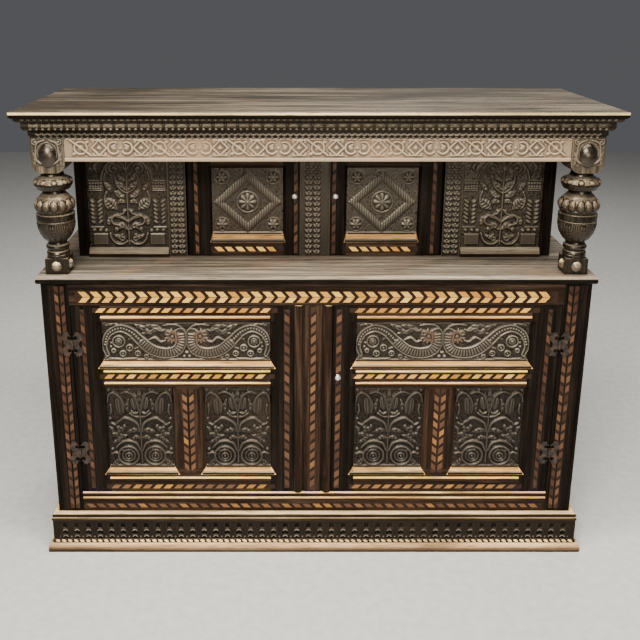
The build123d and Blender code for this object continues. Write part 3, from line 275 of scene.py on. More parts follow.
def carved_oak(name, ground, raised, crest, warm=(0.10, 0.042, 0.018), warm_share=0.6,
               patch=(0.040, 0.021, 0.0115), roughness=0.34, gloss=0.3):
    """Carved oak, darker in the ground with dark wax and painted shade, lighter on ridges and up-facing
    slopes where hands and dusters rub and with painted highlight, and with painted shade on down-facing
    slopes and in hollows. The mesh gives the heights.
    """
    m = Nodes(name)
    upward = m.along("Normal", Z)
    exposed = m.attribute("crest")
    patches = m.noise(even(16.0), detail=4.0, roughness=0.6, distortion=0.5)
    broad = m.noise(even(4.0), detail=3.0, roughness=0.6, distortion=0.6)
    speck = m.noise(even(420.0), detail=2.0, roughness=0.5)
    # Random patches where ridges and up-facing slopes take their rubbing and painted highlight.
    rubbed = m.level(patches, 0.36, 0.62, 0.45)
    # Darker ground: dark wax partly, painted shade partly.
    wood = m.mix(m.level(m.attribute("carved"), 0.06, 0.70), ground, raised)
    wood = m.mix(m.level(m.attribute("warmth"), 0.0, 1.0, 0.0, warm_share), wood, warm)
    # Painted highlight on ridges, partly rubbing.
    wood = m.mix(m.join(m.level(exposed, 0.56, 0.92, 0.0, 0.55), rubbed), wood, crest)
    # Painted highlight on up-facing slopes, partly rubbing.
    wood = m.mix(m.join(m.level(upward, 0.08, 0.50, 0.0, 0.95), rubbed), wood, crest)
    # Painted shade on down-facing slopes.
    wood = m.mix(m.level(upward, -0.05, -0.45, 0.0, 0.75), wood, shade(ground, 0.5))
    # Painted shade in hollows, partly dark wax.
    wood = m.mix(m.level(exposed, 0.47, 0.25, 0.0, 0.92), wood, shade(ground, 0.25))
    wood = m.mix(m.level(broad, 0.50, 0.66, 0.0, 0.40), wood, patch)
    wood = m.mix(m.level(speck, 0.30, 0.45, 0.6, 0.0), wood, shade(ground, 0.4))
    m.link(wood, "Base Color")
    m.link(m.level(speck, 0.3, 0.7, roughness - 0.08, roughness + 0.12), "Roughness")
    m.set(Specular_IOR_Level=gloss, Specular_Tint=WAX_TINT)
    m.bump([speck, patches], 0.35, 0.0005)
    return m.material


def inlay_wood(name):
    """Slips of light and dark wood let into the oak. The tone of each slip is on the mesh."""
    m = Nodes(name)
    grain = m.noise(even(300.0), detail=4.0, roughness=0.6, distortion=0.4)
    slip = m.ramp(
        m.attribute("tone"),
        (0.0, (0.0025, 0.0014, 0.0009)),
        (0.30, (0.046, 0.022, 0.0125)),
        (0.55, (0.160, 0.080, 0.041)),
        (0.80, (0.62, 0.290, 0.052)),
        (1.0, (0.97, 0.61, 0.150)),
    )
    slip = m.mix(m.level(grain, 0.40, 0.62, 0.4, 0.0), slip, (0.03, 0.012, 0.005))
    m.link(slip, "Base Color")
    m.link(m.level(grain, 0.3, 0.7, 0.36, 0.52), "Roughness")
    m.set(Specular_IOR_Level=0.15)
    m.bump([grain], 0.2, 0.0003)
    return m.material


def wrought_iron(name):
    """Hammered iron, blackened, brown with old rust in the low places."""
    m = Nodes(name)
    hammer = m.noise(even(190.0), detail=2.0, roughness=0.5)
    rust = m.noise(even(70.0), detail=4.0, roughness=0.6)
    m.link(m.ramp(rust, (0.40, (0.028, 0.025, 0.023)), (0.66, (0.090, 0.058, 0.040))), "Base Color")
    m.link(m.level(rust, 0.4, 0.7, 0.30, 0.60), "Roughness")
    m.set(Metallic=0.75)
    m.bump([hammer, rust], 0.5, 0.0008)
    return m.material


def silvered_metal(name):
    """Tinned metal, bright on its rounds, for the knobs."""
    m = Nodes(name)
    tarnish = m.noise(even(260.0), detail=3.0, roughness=0.6)
    m.link(m.ramp(tarnish, (0.38, (0.42, 0.38, 0.32)), (0.56, (0.86, 0.84, 0.80))), "Base Color")
    m.link(m.level(tarnish, 0.35, 0.65, 0.42, 0.22), "Roughness")
    m.set(Metallic=0.85)
    m.bump([tarnish], 0.2, 0.0003)
    return m.material


# Dark, middle and light of each kind of oak.
DEEP = ((0.0014, 0.0009, 0.0007), (0.0052, 0.0034, 0.0026), (0.0170, 0.0120, 0.0090))
WARM = ((0.0032, 0.0017, 0.0011), (0.0160, 0.0086, 0.0055), (0.070, 0.0420, 0.0260))
TURNED = ((0.0014, 0.0010, 0.0007), (0.0058, 0.0043, 0.0029), (0.026, 0.0200, 0.0135))
OLIVE = ((0.0180, 0.0140, 0.0092), (0.0700, 0.0560, 0.0380), (0.180, 0.1460, 0.1000))
EGG = ((0.0022, 0.0015, 0.0011), (0.0070, 0.0051, 0.0036), (0.022, 0.0165, 0.0120))
BOSS = ((0.0400, 0.0310, 0.0210), (0.1300, 0.1050, 0.0740), (0.300, 0.2450, 0.1750))
TOP = ((0.0135, 0.0112, 0.0082), (0.0560, 0.0468, 0.0345), (0.165, 0.1390, 0.1020))
SHELF = ((0.0340, 0.0270, 0.0195), (0.1600, 0.1340, 0.1010), (0.350, 0.3000, 0.2300))
PALE = ((0.0300, 0.0170, 0.0090), (0.1200, 0.0720, 0.0400), (0.320, 0.2100, 0.1250))
RAW = ((0.0200, 0.0130, 0.0082), (0.0600, 0.0410, 0.0270), (0.130, 0.0930, 0.0620))
# Colours of wear and painted highlight on up-facing slopes, and of board edges.
GOLD = (0.62, 0.320, 0.095)
SILVER = (0.90, 0.66, 0.31)
STONE = (0.30, 0.24, 0.165)
RIM = (0.76, 0.59, 0.31)
SHELF_RIM = (0.32, 0.265, 0.190)
SALMON = (0.56, 0.34, 0.165)
CREAM = (0.72, 0.50, 0.275)

CARVED = carved_oak(
    "carved_dark_oak", (0.0040, 0.0030, 0.0024), (0.0185, 0.0150, 0.0120), (0.066, 0.056, 0.045),
    patch=(0.036, 0.023, 0.015),
)
CARVED_RUBBED = carved_oak(
    "carved_rubbed_oak", (0.0038, 0.0029, 0.0021), (0.0320, 0.0265, 0.0205), (0.190, 0.162, 0.124),
    gloss=0.45,
)
CARVED_RECESS = carved_oak(
    "carved_recess_oak", (0.0125, 0.0102, 0.0075), (0.0420, 0.0350, 0.0260), (0.145, 0.123, 0.090),
    gloss=0.45,
)
CARVED_DOOR = carved_oak(
    "carved_upper_door_oak", (0.0240, 0.0200, 0.0148), (0.0620, 0.0520, 0.0390), (0.190, 0.162, 0.120),
    gloss=0.45,
)
CARVED_TURNED = carved_oak(
    "carved_turned_oak", (0.0008, 0.0006, 0.0004), (0.0060, 0.0045, 0.0030), (0.150, 0.114, 0.071),
    warm=(0.036, 0.026, 0.015), warm_share=0.85, roughness=0.24, gloss=0.45,
)
CARVED_PALE = carved_oak(
    "carved_frieze_oak", (0.260, 0.192, 0.126), (0.310, 0.232, 0.156), (0.46, 0.360, 0.248),
    patch=(0.36, 0.225, 0.14), gloss=0.15,
)
CARVED_CORNER = carved_oak(
    "carved_corner_oak", (0.050, 0.041, 0.029), (0.105, 0.087, 0.062), (0.20, 0.168, 0.122),
    patch=(0.12, 0.075, 0.045), gloss=0.2,
)
CARVED_PLINTH = carved_oak(
    "carved_plinth_oak", (0.0009, 0.0006, 0.0005), (0.0110, 0.0084, 0.0062), (0.036, 0.029, 0.022),
    warm=(0.34, 0.290, 0.225), warm_share=0.95, patch=(0.026, 0.017, 0.011), gloss=0.10,
)
INLAY = inlay_wood("inlay_slips")
IRON = wrought_iron("wrought_iron")
SILVERED = silvered_metal("silvered_metal")


def family(tones, **settings):
    return tones, settings


WOODS = {
    "deep": family(DEEP, worn=(GOLD, SILVER), worn_from=0.25, red=0.15, gloss=0.07),
    "warm": family(WARM, worn=(GOLD, SILVER), red=0.35, gloss=0.10),
    "turned": family(
        TURNED, worn=(shade(STONE, 0.3), shade(STONE, 0.55)), worn_from=0.5, red=0.1, roughness=0.26,
        gloss=0.4,
    ),
    "corner": family(OLIVE, worn=(STONE, STONE), worn_from=0.3, red=0.2, clouds=0.4),
    "egg": family(EGG, roughness=0.28, red=0.1, gloss=0.80),
    "boss": family(BOSS, worn=(STONE, SILVER), worn_from=0.3, roughness=0.30, red=0.1, gloss=0.6),
    "cap": family(WARM, worn=(shade(STONE, 0.8), shade(SILVER, 0.8)), worn_from=0.62, red=0.2, gloss=0.10),
    "foot": family(PALE, worn=(SALMON, CREAM), worn_from=-0.15, red=0.3, dark_below=(0.004, 0.022)),
    "rope": family(PALE, worn=(SILVER, SILVER), worn_from=-0.1, red=0.3),
    "dull": family(WARM, worn=(shade(STONE, 0.55), shade(STONE, 0.8)), red=0.2, gloss=0.12),
    "cornice": family(TURNED, worn=(STONE, STONE), worn_from=0.3, red=0.1),
    "stud": family(OLIVE, worn=(shade(STONE, 0.5), STONE), worn_from=0.0, red=0.1, gloss=0.3),
    "top": family(TOP, red=0.15, clouds=0.8, edge=RIM, dark_below=(1.4980, 1.5000), gloss=0.08),
    "shelf": family(SHELF, red=0.2, clouds=0.5, edge=SHELF_RIM, dark_below=(0.9780, 0.9810), gloss=0.1),
    "frieze": family(PALE, worn=(SILVER, SILVER), red=0.3),
    "unpolished": family(RAW, roughness=0.7, red=0.15, gloss=0.15),
    "peg": family(DEEP, gloss=0.1),
}
# Each kind of oak with its grain along x, y and z.
OAK = {
    kind: [oak(f"{kind}_oak_along_{letter}", tones, axis, **settings) for axis, letter in enumerate("xyz")]
    for kind, (tones, settings) in WOODS.items()
}
KIND_OF = {
    "plinth_cap_moulding": "cap",
    "foot_moulding": "foot",
    "stage_sills": "dull",
    "cornice": "cornice",
    "corner_blocks": "corner",
    "column_block_bosses": "boss",
    "corner_bosses": "egg",
    "column_left": "turned",
    "column_right": "turned",
    "top_boards": "top",
    "middle_board": "shelf",
    "frieze_front": "frieze",
    "frieze_sides": "frieze",
    "lower_side_panels": "warm",
    "stage_side_panels": "warm",
}
# The ends of the names of nodes that are unpolished, upright, or run from front to back.
UNPOLISHED = ("floor_boards", "back_boards", "back_rails", "back_posts", "stops", "catch", "catch_left",
              "catch_right")
UPRIGHT = ("stiles", "posts", "back_boards", "muntin", "muntin_centre", "muntins_outer", "lower_side_panels",
           "column_left", "column_right", "blocks")
FRONT_TO_BACK = ("side_rails", "frieze_sides", "floor_boards")


def dress_nodes():
    """Give every CAD node its material, with the grain along its members."""
    for name, node in NODES.items():
        size = high(name) - low(name)
        if "hinge" in name or "pivots" in name:
            material = IRON
        elif "knob" in name:
            material = SILVERED
        else:
            plain = "warm" if "rail" in name or "muntin" in name else "deep"
            kind = "unpolished" if name.endswith(UNPOLISHED) else KIND_OF.get(name, plain)
            if name.endswith(UPRIGHT):
                axis = Z
            elif name.endswith(FRONT_TO_BACK):
                axis = Y
            else:
                axis = X if size[X] >= size[Z] or name.endswith("rails") else Z
            material = OAK[kind][axis]
        node.data.materials.clear()
        node.data.materials.append(material)


# --- Meshes ---
def make_piece(name, points, faces, material, body, smooth=None, marks=None):
    """One visible piece. marks are numbers for each point that its material reads."""
    mesh = bpy.data.meshes.new(name)
    mesh.from_pydata((np.asarray(points) * MM).tolist(), [], faces)
    if smooth is not None:
        mesh.polygons.foreach_set("use_smooth", smooth)
    for mark, values in (marks or {}).items():
        layer = mesh.attributes.new(mark, "FLOAT", "POINT")
        layer.data.foreach_set("value", np.asarray(values, dtype=np.float32))
    mesh.materials.append(material)
    mesh.update()
    shown = bpy.data.objects.new(name, mesh)
    bpy.context.scene.collection.objects.link(shown)
    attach(shown, body)
    return shown


class Face:
    """A flat face of the object: u runs to its right, v up it and w out of it."""

    def __init__(self, origin, right=(1.0, 0.0, 0.0), up=(0.0, 0.0, 1.0)):
        self.origin = np.array(origin, dtype=float)
        self.right = np.array(right, dtype=float)
        self.up = np.array(up, dtype=float) / np.linalg.norm(up)
        self.out = np.cross(self.right, self.up)

    def at(self, u, v, w):
        u, v, w = np.broadcast_arrays(u, v, w)
        return self.origin + u[..., None] * self.right + v[..., None] * self.up + w[..., None] * self.out


class Solids:
    """Many small closed solids that make one piece."""

    def __init__(self):
        self.points = []
        self.faces = []
        self.smooth = []
        self.tones = []

    def add(self, points, faces, smooth=False, tone=0.5):
        start = len(self.points)
        self.points.extend(np.asarray(points).reshape(-1, 3).tolist())
        self.faces.extend([[start + corner for corner in face] for face in faces])
        self.smooth.extend([smooth] * len(faces))
        self.tones.extend([tone] * (len(self.points) - start))

    def plate(self, face, outline, back, front, tone=0.5):
        """A flat plate. The outline runs anticlockwise as seen from outside."""
        count = len(outline)
        u, v = np.array(outline, dtype=float).T
        points = np.concatenate([face.at(u, v, back), face.at(u, v, front)])
        sides = [[i, (i + 1) % count, count + (i + 1) % count, count + i] for i in range(count)]
        self.add(points, [list(range(count))[::-1], list(range(count, 2 * count))] + sides, tone=tone)

    def stud(self, face, u, v, half_u, half_v, rise):
        """A four-sided nail-head."""
        corners = [(-1, -1), (1, -1), (1, 1), (-1, 1)]
        base = [face.at(u + a * half_u, v + b * half_v, -0.5) for a, b in corners]
        base.append(face.at(u, v, rise))
        self.add(base, [[3, 2, 1, 0], [0, 1, 4], [1, 2, 4], [2, 3, 4], [3, 0, 4]])

    def dome(self, face, u, v, radius_u, radius_v, rise, lean=0.0, around=12, rings=4):
        """A round or oval boss. lean shifts its upper side to the right, as a share of its height."""
        points = []
        for ring in range(rings):
            angle = ring / rings * math.pi / 2
            turn = np.arange(around) / around * 2 * math.pi
            across = radius_u * math.cos(angle) * np.cos(turn)
            upward = radius_v * math.cos(angle) * np.sin(turn)
            height = rise * math.sin(angle) if ring else -0.5
            points.append(face.at(u + across + lean * upward, v + upward, height))
        points.append(face.at(u, v, rise)[None, :])
        faces = [list(range(around))[::-1]]
        for ring in range(rings - 1):
            for i in range(around):
                a, b = ring * around + i, ring * around + (i + 1) % around
                faces.append([a, b, b + around, a + around])
        last = (rings - 1) * around
        faces += [[last + i, last + (i + 1) % around, rings * around] for i in range(around)]
        self.add(np.concatenate(points), faces, smooth=True)

    def bent_bead(self, face, u, v, radius, width, rise, start, sweep, steps=8):
        """A half-round bead bent round (u, v), from an angle through a sweep in degrees."""
        section = [(-0.5, -0.5), (-0.5, 0.2), (-0.25, 0.8), (0.0, 1.0), (0.25, 0.8), (0.5, 0.2), (0.5, -0.5)]
        count = len(section)
        points = []
        for step in range(steps + 1):
            angle = math.radians(start + sweep * step / steps)
            for across, height in section:
                reach = radius - across * width
                place = (u + reach * math.cos(angle), v + reach * math.sin(angle))
                points.append(face.at(*place, height * rise))
        faces = [list(range(count)), [steps * count + i for i in range(count)][::-1]]
        for step in range(steps):
            for i in range(count):
                a, b = step * count + i, step * count + (i + 1) % count
                faces.append([b, a, a + count, b + count])
        self.add(points, faces, smooth=True)

    def build(self, name, material, body="carcass", slot="dark_waxed_oak"):
        marks = {"tone": self.tones}
        return make_piece(name, self.points, self.faces, material, body, self.smooth, marks)


# --- Carving ---
def smooth_line(points, spacing=3.0):
    """A curve through the points, as short straight steps (Catmull-Rom)."""
    points = np.array(points, dtype=float)
    ends = np.concatenate([[2 * points[0] - points[1]], points, [2 * points[-1] - points[-2]]])
    line = []
    for before, start, end, after in zip(ends, ends[1:], ends[2:], ends[3:]):
        steps = max(1, round(np.linalg.norm(end - start) / spacing))
        t = (np.arange(steps) / steps)[:, None]
        turn = 2 * before - 5 * start + 4 * end - after
        bend = 3 * (start - end) + after - before
        line.append((2 * start + (end - before) * t + turn * t**2 + bend * t**3) / 2)
    return np.concatenate(line + [points[-1:]])


def dome(share):
    """Height of a half-round at a share of its half width."""
    return np.sqrt(np.clip(1.0 - share**2, 0.0, 1.0))


def soften(heights, passes):
    """Spread each height over its neighbours."""
    for _ in range(passes):
        wide = np.pad(heights, 1, mode="edge")
        across = (wide[:, :-2] + 2 * wide[:, 1:-1] + wide[:, 2:]) / 4
        heights = (across[:-2] + 2 * across[1:-1] + across[2:]) / 4
    return heights


def relief_marks(heights, warmth, extra):
    """Numbers for the material: how high and how exposed each point is. extra points take the lowest."""
    carved = (heights - heights.min()) / max(heights.max() - heights.min(), 0.1)
    crest = np.clip(0.5 + (heights - soften(heights, 8)) / 2.4, 0.0, 1.0)
    fields = {"carved": carved, "crest": crest, "warmth": warmth}
    return {name: np.append(field.ravel(), np.zeros(extra)) for name, field in fields.items()}


class Relief:
    """A carved face: heights on a grid, with u to the right and v up from its lower left corner.

    drawn is the size of the drawing whose points place, strokes, leaves and bosses take.
    """

    def __init__(self, width, height, step=1.6, levels=None, bold=1.0, drawn=None):
        self.width = width
        self.height = height
        self.bold = bold
        self.scale = np.array((width, height)) / (drawn or (width, height))
        self.us = np.linspace(0.0, width, round(width / step) + 1)
        self.vs = np.linspace(0.0, height, round(height / step) + 1) if levels is None else levels
        self.u, self.v = np.meshgrid(self.us, self.vs)
        self.h = np.zeros_like(self.u)
        self.warmth = np.zeros_like(self.u)

    def place(self, points):
        """Points of the drawing, on the face."""
        return np.array(points, dtype=float) * self.scale

    def window(self, points, reach):
        """The part of the grid within reach of the points."""
        points = np.asarray(points, dtype=float).reshape(-1, 2)
        least, most = points.min(0) - reach, points.max(0) + reach
        rows = slice(*np.searchsorted(self.vs, (least[1], most[1])))
        return rows, slice(*np.searchsorted(self.us, (least[0], most[0])))

    def measure(self, line, window):
        """For each cell: its distance to the line and its place along it from 0 to 1."""
        here = np.stack([self.u[window], self.v[window]], -1)[..., None, :]
        start, run = line[:-1], np.diff(line, axis=0)
        length = np.maximum(np.hypot(run[:, 0], run[:, 1]), 1e-6)
        share = np.clip(((here - start) * run).sum(-1) / length**2, 0.0, 1.0)
        gap = here - start - share[..., None] * run
        distance = np.hypot(gap[..., 0], gap[..., 1])
        before = np.concatenate([[0.0], np.cumsum(length)[:-1]])
        place = (before + share * length) / length.sum()
        nearest = distance.argmin(-1)[..., None]
        return [np.take_along_axis(field, nearest, -1)[..., 0] for field in (distance, place)]

    def lift(self, window, heights):
        self.h[window] = np.maximum(self.h[window], heights)

    def stroke(self, points, width=5.0, height=3.6, ends=0.35):
        """A rounded strap that narrows to its ends."""
        line = smooth_line(points)
        window = self.window(line, width * self.bold)
        distance, place = self.measure(line, window)
        swell = np.clip(np.sin(np.pi * place), 0.0, 1.0) ** 0.6
        half = self.bold * width / 2 * (ends + (1 - ends) * swell)
        self.lift(window, self.bold * height * dome(distance / half))

    def leaf(self, points, width=12.0, height=4.2, veins=0):
        """A pointed leaf with a groove down its middle, and slanting veins."""
        line = smooth_line(points)
        window = self.window(line, width * self.bold)
        distance, place = self.measure(line, window)
        half = self.bold * width / 2 * np.sin(np.pi * np.clip(place, 0.02, 0.98)) ** 0.75
        across = distance / half
        shape = dome(across) * (0.62 + 0.38 * np.clip(across * 3.0, 0.0, 1.0))
        if veins:
            shape = shape * (0.74 + 0.26 * np.cos(2 * np.pi * (place * veins - across * 0.55)))
        self.lift(window, self.bold * height * shape)

    def strokes(self, height, ends, *lines):
        """Drawn strokes, each a width and its points."""
        for width, *points in lines:
            self.stroke(self.place(points), width, height, ends)

    def leaves(self, height, veins, *lines):
        """Drawn leaves, each a width and its points."""
        for width, *points in lines:
            self.leaf(self.place(points), width, height, veins)

    def ring(self, u, v, radius, width=4.0, height=3.6):
        window = self.window([(u, v)], radius + width)
        reach = np.hypot(self.u[window] - u, self.v[window] - v)
        self.lift(window, height * dome((reach - radius) / (width / 2)))

    def boss(self, u, v, radius=5.0, height=4.2, tall=None):
        window = self.window([(u, v)], max(radius, tall or 0) + 1)
        reach = np.hypot((self.u[window] - u) / radius, (self.v[window] - v) / (tall or radius))
        self.lift(window, height * dome(reach))

    def bosses(self, height, *places):
        """Drawn bosses, each a place and a radius."""
        for u, v, radius in places:
            self.boss(*self.place((u, v)), radius, height)

    def spiral(self, u, v, radius, width=5.0, height=4.0, turns=1.6, start=90.0, hand=1):
        """A volute from its rim to its eye, with a boss in the middle."""
        t = np.linspace(0.0, 1.0, 26)
        angle = math.radians(start) + hand * turns * 2 * np.pi * t
        reach = radius * (1 - 0.80 * t)
        points = np.stack([u + reach * np.cos(angle), v + reach * np.sin(angle)], -1)
        self.stroke(points, width, height, 0.75)
        self.boss(u, v, radius * 0.26, height)

    def beads(self, points, pitch, radius, height):
        """Small bosses along a curve."""
        line = smooth_line(points, 1.0)
        length = np.concatenate([[0.0], np.cumsum(np.hypot(*np.diff(line, axis=0).T))])
        for reach in np.arange(pitch / 2, length[-1], pitch):
            u, v = (np.interp(reach, length, line[:, axis]) for axis in (0, 1))
            self.boss(u, v, radius, height)

    def slab(self, u, v, height):
        """Raise a rectangle between pairs of u and v."""
        inside = (self.u >= u[0]) & (self.u <= u[1]) & (self.v >= v[0]) & (self.v <= v[1])
        self.h[inside] = np.maximum(self.h[inside], height)

    def band(self, least, most, height):
        """Raise a level band across the whole width."""
        self.slab((0, self.width), (least, most), height)

    def warm(self, share):
        self.warmth = np.maximum(self.warmth, share)

    def mirror(self):
        """Repeat the left half on the right."""
        self.h = np.maximum(self.h, self.h[:, ::-1])
        self.warm(self.warmth[:, ::-1])

    def tool(self, depth=0.3, passes=1, matting=0.0):
        """Soften the edges as a gouge leaves them and roughen the ground with small dents and lumps."""
        self.h = soften(self.h, passes)
        ground = np.clip(1.0 - self.h / 0.8, 0.0, 1.0)
        dents = rng.uniform(-depth, depth, self.h.shape) * (0.25 + 0.75 * ground)
        lumps = soften(rng.uniform(-matting, matting, self.h.shape), 2) * ground
        self.h = self.h + dents + lumps

    def build(self, name, face, material=CARVED, body="carcass", slot="carved_panel_oak", back=0.4):
        """The relief on a flat face, closed behind at a depth."""
        rows, columns = self.h.shape
        u, v = np.array([(0, 0), (self.width, 0), (self.width, self.height), (0, self.height)]).T
        points = np.concatenate([face.at(self.u, self.v, self.h + 0.2).reshape(-1, 3), face.at(u, v, -back)])
        index = np.arange(rows * columns).reshape(rows, columns)
        quads = np.stack([index[:-1, :-1], index[:-1, 1:], index[1:, 1:], index[1:, :-1]], -1)
        quads = quads.reshape(-1, 4).tolist()
        a, b, c, d = range(rows * columns, rows * columns + 4)
        walls = [
            [a, d, c, b],
            [a, b, *index[0, ::-1].tolist()],
            [b, c, *index[::-1, -1].tolist()],
            [c, d, *index[-1].tolist()],
            [d, a, *index[:, 0].tolist()],
        ]
        smooth = [True] * len(quads) + [False] * len(walls)
        marks = relief_marks(self.h, self.warmth, 4)
        return make_piece(name, points, quads + walls, material, body, smooth, marks)

    def wrap(self, name, axis, base, radius_at, material, body="carcass", slot="dark_waxed_oak"):
        """The relief bent round an upright axis. radius_at gives the turned surface's radius at a height."""
        heights, warmth = self.h[:, :-1], self.warmth[:, :-1]
        turn = -3 * np.pi / 2 + 2 * np.pi * self.u[:, :-1] / self.width
        level = base + self.v[:, :-1]
        radius = radius_at(level)
        rows, columns = level.shape

        def shell(reach):
            return np.stack([axis[X] + reach * np.cos(turn), axis[Y] + reach * np.sin(turn), level], -1)

        points = np.concatenate([shell(radius + heights), shell(radius - 1.2)[::-1]]).reshape(-1, 3)
        index = np.arange(2 * rows * columns).reshape(2 * rows, columns)
        right = np.roll(index, -1, axis=1)
        quads = np.stack([index, right, np.roll(right, -1, axis=0), np.roll(index, -1, axis=0)], -1)
        quads = quads.reshape(-1, 4)
        marks = relief_marks(heights, warmth, rows * columns)
        return make_piece(name, points, quads.tolist(), material, body, [True] * len(quads), marks)


# --- Carved panels ---
def serpent_panel(width, height):
    """Two serpents whose tails curl in the outer corners and whose heads meet below the top."""
    r = Relief(width, height, drawn=(541, 132))
    back = [(14, 20), (6, 52), (20, 92), (56, 112), (92, 100), (124, 68), (158, 38)]
    neck = [(198, 26), (236, 34), (254, 62), (252, 96)]
    line = smooth_line(r.place(back + neck))
    window = r.window(line, 26)
    distance, along_back = r.measure(line, window)
    body = 7.0 + 11.0 * np.clip(along_back * 1.8, 0.0, 1.0)
    r.lift(window, 2.6 * dome((distance / body) ** 3))
    r.lift(window, 6.0 * dome((distance - body + 2.0) / 3.0))
    ribs = np.abs(np.sin(along_back * 44.0 * np.pi)) * dome((distance / (body - 5.0)) ** 2)
    r.lift(window, np.where(along_back > 0.50, 3.0 + 3.4 * ribs, 0.0) * (ribs > 0.05))
    r.beads(r.place(back[1:6]), 9.5, 4.0, 6.6)
    for u, v, size in ((52, 66, 19), (86, 44, 10), (112, 24, 8), (64, 24, 9), (140, 14, 6), (34, 34, 6)):
        r.ring(*r.place((u, v)), size, 5.0, 5.0)
        r.bosses(5.0, (u, v, size * 0.42))
    r.ring(*r.place((52, 66)), 10, 4.0, 4.2)
    # The head's ruff, its eye and its jaws.
    head = (226, 84)
    petals = 11
    for petal in range(petals):
        turn = 2 * math.pi * petal / petals
        toward = np.array((math.cos(turn), math.sin(turn)))
        r.leaves(5.4, 0, (10, head + 7 * toward, head + 27 * toward))
    r.bosses(5.0, (*head, 8))
    centre = r.place(head)
    r.warm(dome(np.hypot(r.u - centre[0], r.v - centre[1]) / 34))
    r.ring(*r.place((212, 98)), 7, 4.6, 7.4)
    r.bosses(7.4, (212, 98, 3.6))
    r.strokes(
        5.2, 0.35,
        (8, (196, 122), (222, 126), (246, 122), (266, 106)),
        (9, (206, 72), (188, 66), (170, 80), (150, 72)),
        (8, (204, 108), (188, 104), (172, 112), (156, 102)),
        (7, (270, 96), (267, 60), (256, 24)),
        (4, (16, 8), (60, 6), (110, 8)),
    )
    r.leaves(
        5.0, 3,
        (19, (140, 122), (172, 116), (202, 98)),
        (18, (104, 126), (134, 112), (160, 92)),
        (13, (126, 94), (156, 98), (186, 110)),
        (12, (150, 12), (184, 8), (222, 14)),
        (9, (10, 122), (34, 126), (60, 124)),
        (9, (82, 72), (96, 84), (86, 94)),
        (8, (100, 40), (118, 46), (130, 40)),
    )
    r.bosses(4.4, (262, 14, 6), (268, 28, 5), (8, 10, 5), (240, 12, 4))
    r.bosses(4.4, (24, 76, 4), (28, 62, 3.6), (26, 48, 3.6))
    r.mirror()
    r.band(1.5, 5.0, 3.4)
    r.band(height - 4.0, height - 1.5, 1.6)
    r.tool(matting=1.0)
    return r


def flower_panel(width, height):
    """A stem with two volutes at its foot, leaves and branches, and lobes, petals and a fan at its head."""
    r = Relief(width, height, drawn=(217.5, 292))

    def lobe(place, half_width, half_height, lean):
        """A rounded lobe with upright ribs."""
        u, v = r.place(place)
        window = r.window([(u, v)], half_height + 8)
        up = (r.v[window] - v) / (half_height * r.scale[1])
        across = (r.u[window] - u - lean * up * half_width) / (half_width * r.scale[0])
        shape = dome(np.hypot(across, up)) * (0.80 + 0.20 * np.cos(across * 3.0 * np.pi))
        r.lift(window, 8.0 * shape)

    r.strokes(5.0, 0.9, (8, (108.7, 14), (108.7, 120), (108.7, 230)))
    lobe((41, 226), 14, 34, -0.20)
    lobe((89, 233), 11, 25, -0.35)
    r.strokes(
        6.6, 0.5,
        (10, (3, 240), (8, 264), (22, 275), (42, 261), (55, 234), (54, 200)),
        (10, (46, 271), (66, 278), (88, 266), (101, 238), (105, 208)),
        (12, (30, 165), (42, 173), (56, 182), (78, 176), (98, 160), (106, 132)),
        (9, (34, 170), (26, 158), (12, 164)),
        (10, (80, 208), (90, 199), (102, 203)),
        (9, (104, 186), (88, 190), (74, 200)),
        (8, (6, 50), (22, 54), (36, 48)),
        (12, (24, 72), (42, 91), (66, 97), (92, 88), (105, 60)),
        (9, (12, 230), (14, 210), (10, 194)),
    )
    r.leaves(
        6.2, 3,
        (15, (106, 222), (98, 250), (93, 274)),
        (13, (107, 226), (106, 256), (106, 284)),
        (15, (72, 250), (66, 226), (68, 204)),
        (19, (106, 134), (86, 136), (62, 130)),
        (17, (106, 108), (92, 110), (76, 102)),
        (19, (60, 152), (44, 140), (26, 128)),
        (22, (62, 118), (44, 112), (28, 122), (14, 114)),
        (16, (50, 98), (34, 100), (14, 90)),
        (19, (6, 6), (22, 16), (32, 34)),
        (11, (4, 150), (14, 140), (12, 128)),
    )
    r.ring(*r.place((64, 42)), 34, 9, 6.6)
    r.ring(*r.place((64, 42)), 21, 6, 4.6)
    r.ring(*r.place((64, 40)), 11, 5, 5.6)
    r.bosses(5.6, (64, 40, 4.5))
    r.bosses(6.0, (33, 147, 7), (54, 152, 5.5), (17, 124, 6), (11, 66, 6), (12, 48, 5))
    r.bosses(6.0, (46, 62, 5), (72, 65, 5), (9, 180, 4.5), (8, 282, 4), (74, 284, 4))
    r.mirror()
    r.band(3.0, 8.5, 5.0)
    r.band(height - 7.5, height - 5.5, 1.5)
    r.tool(matting=1.2)
    return r


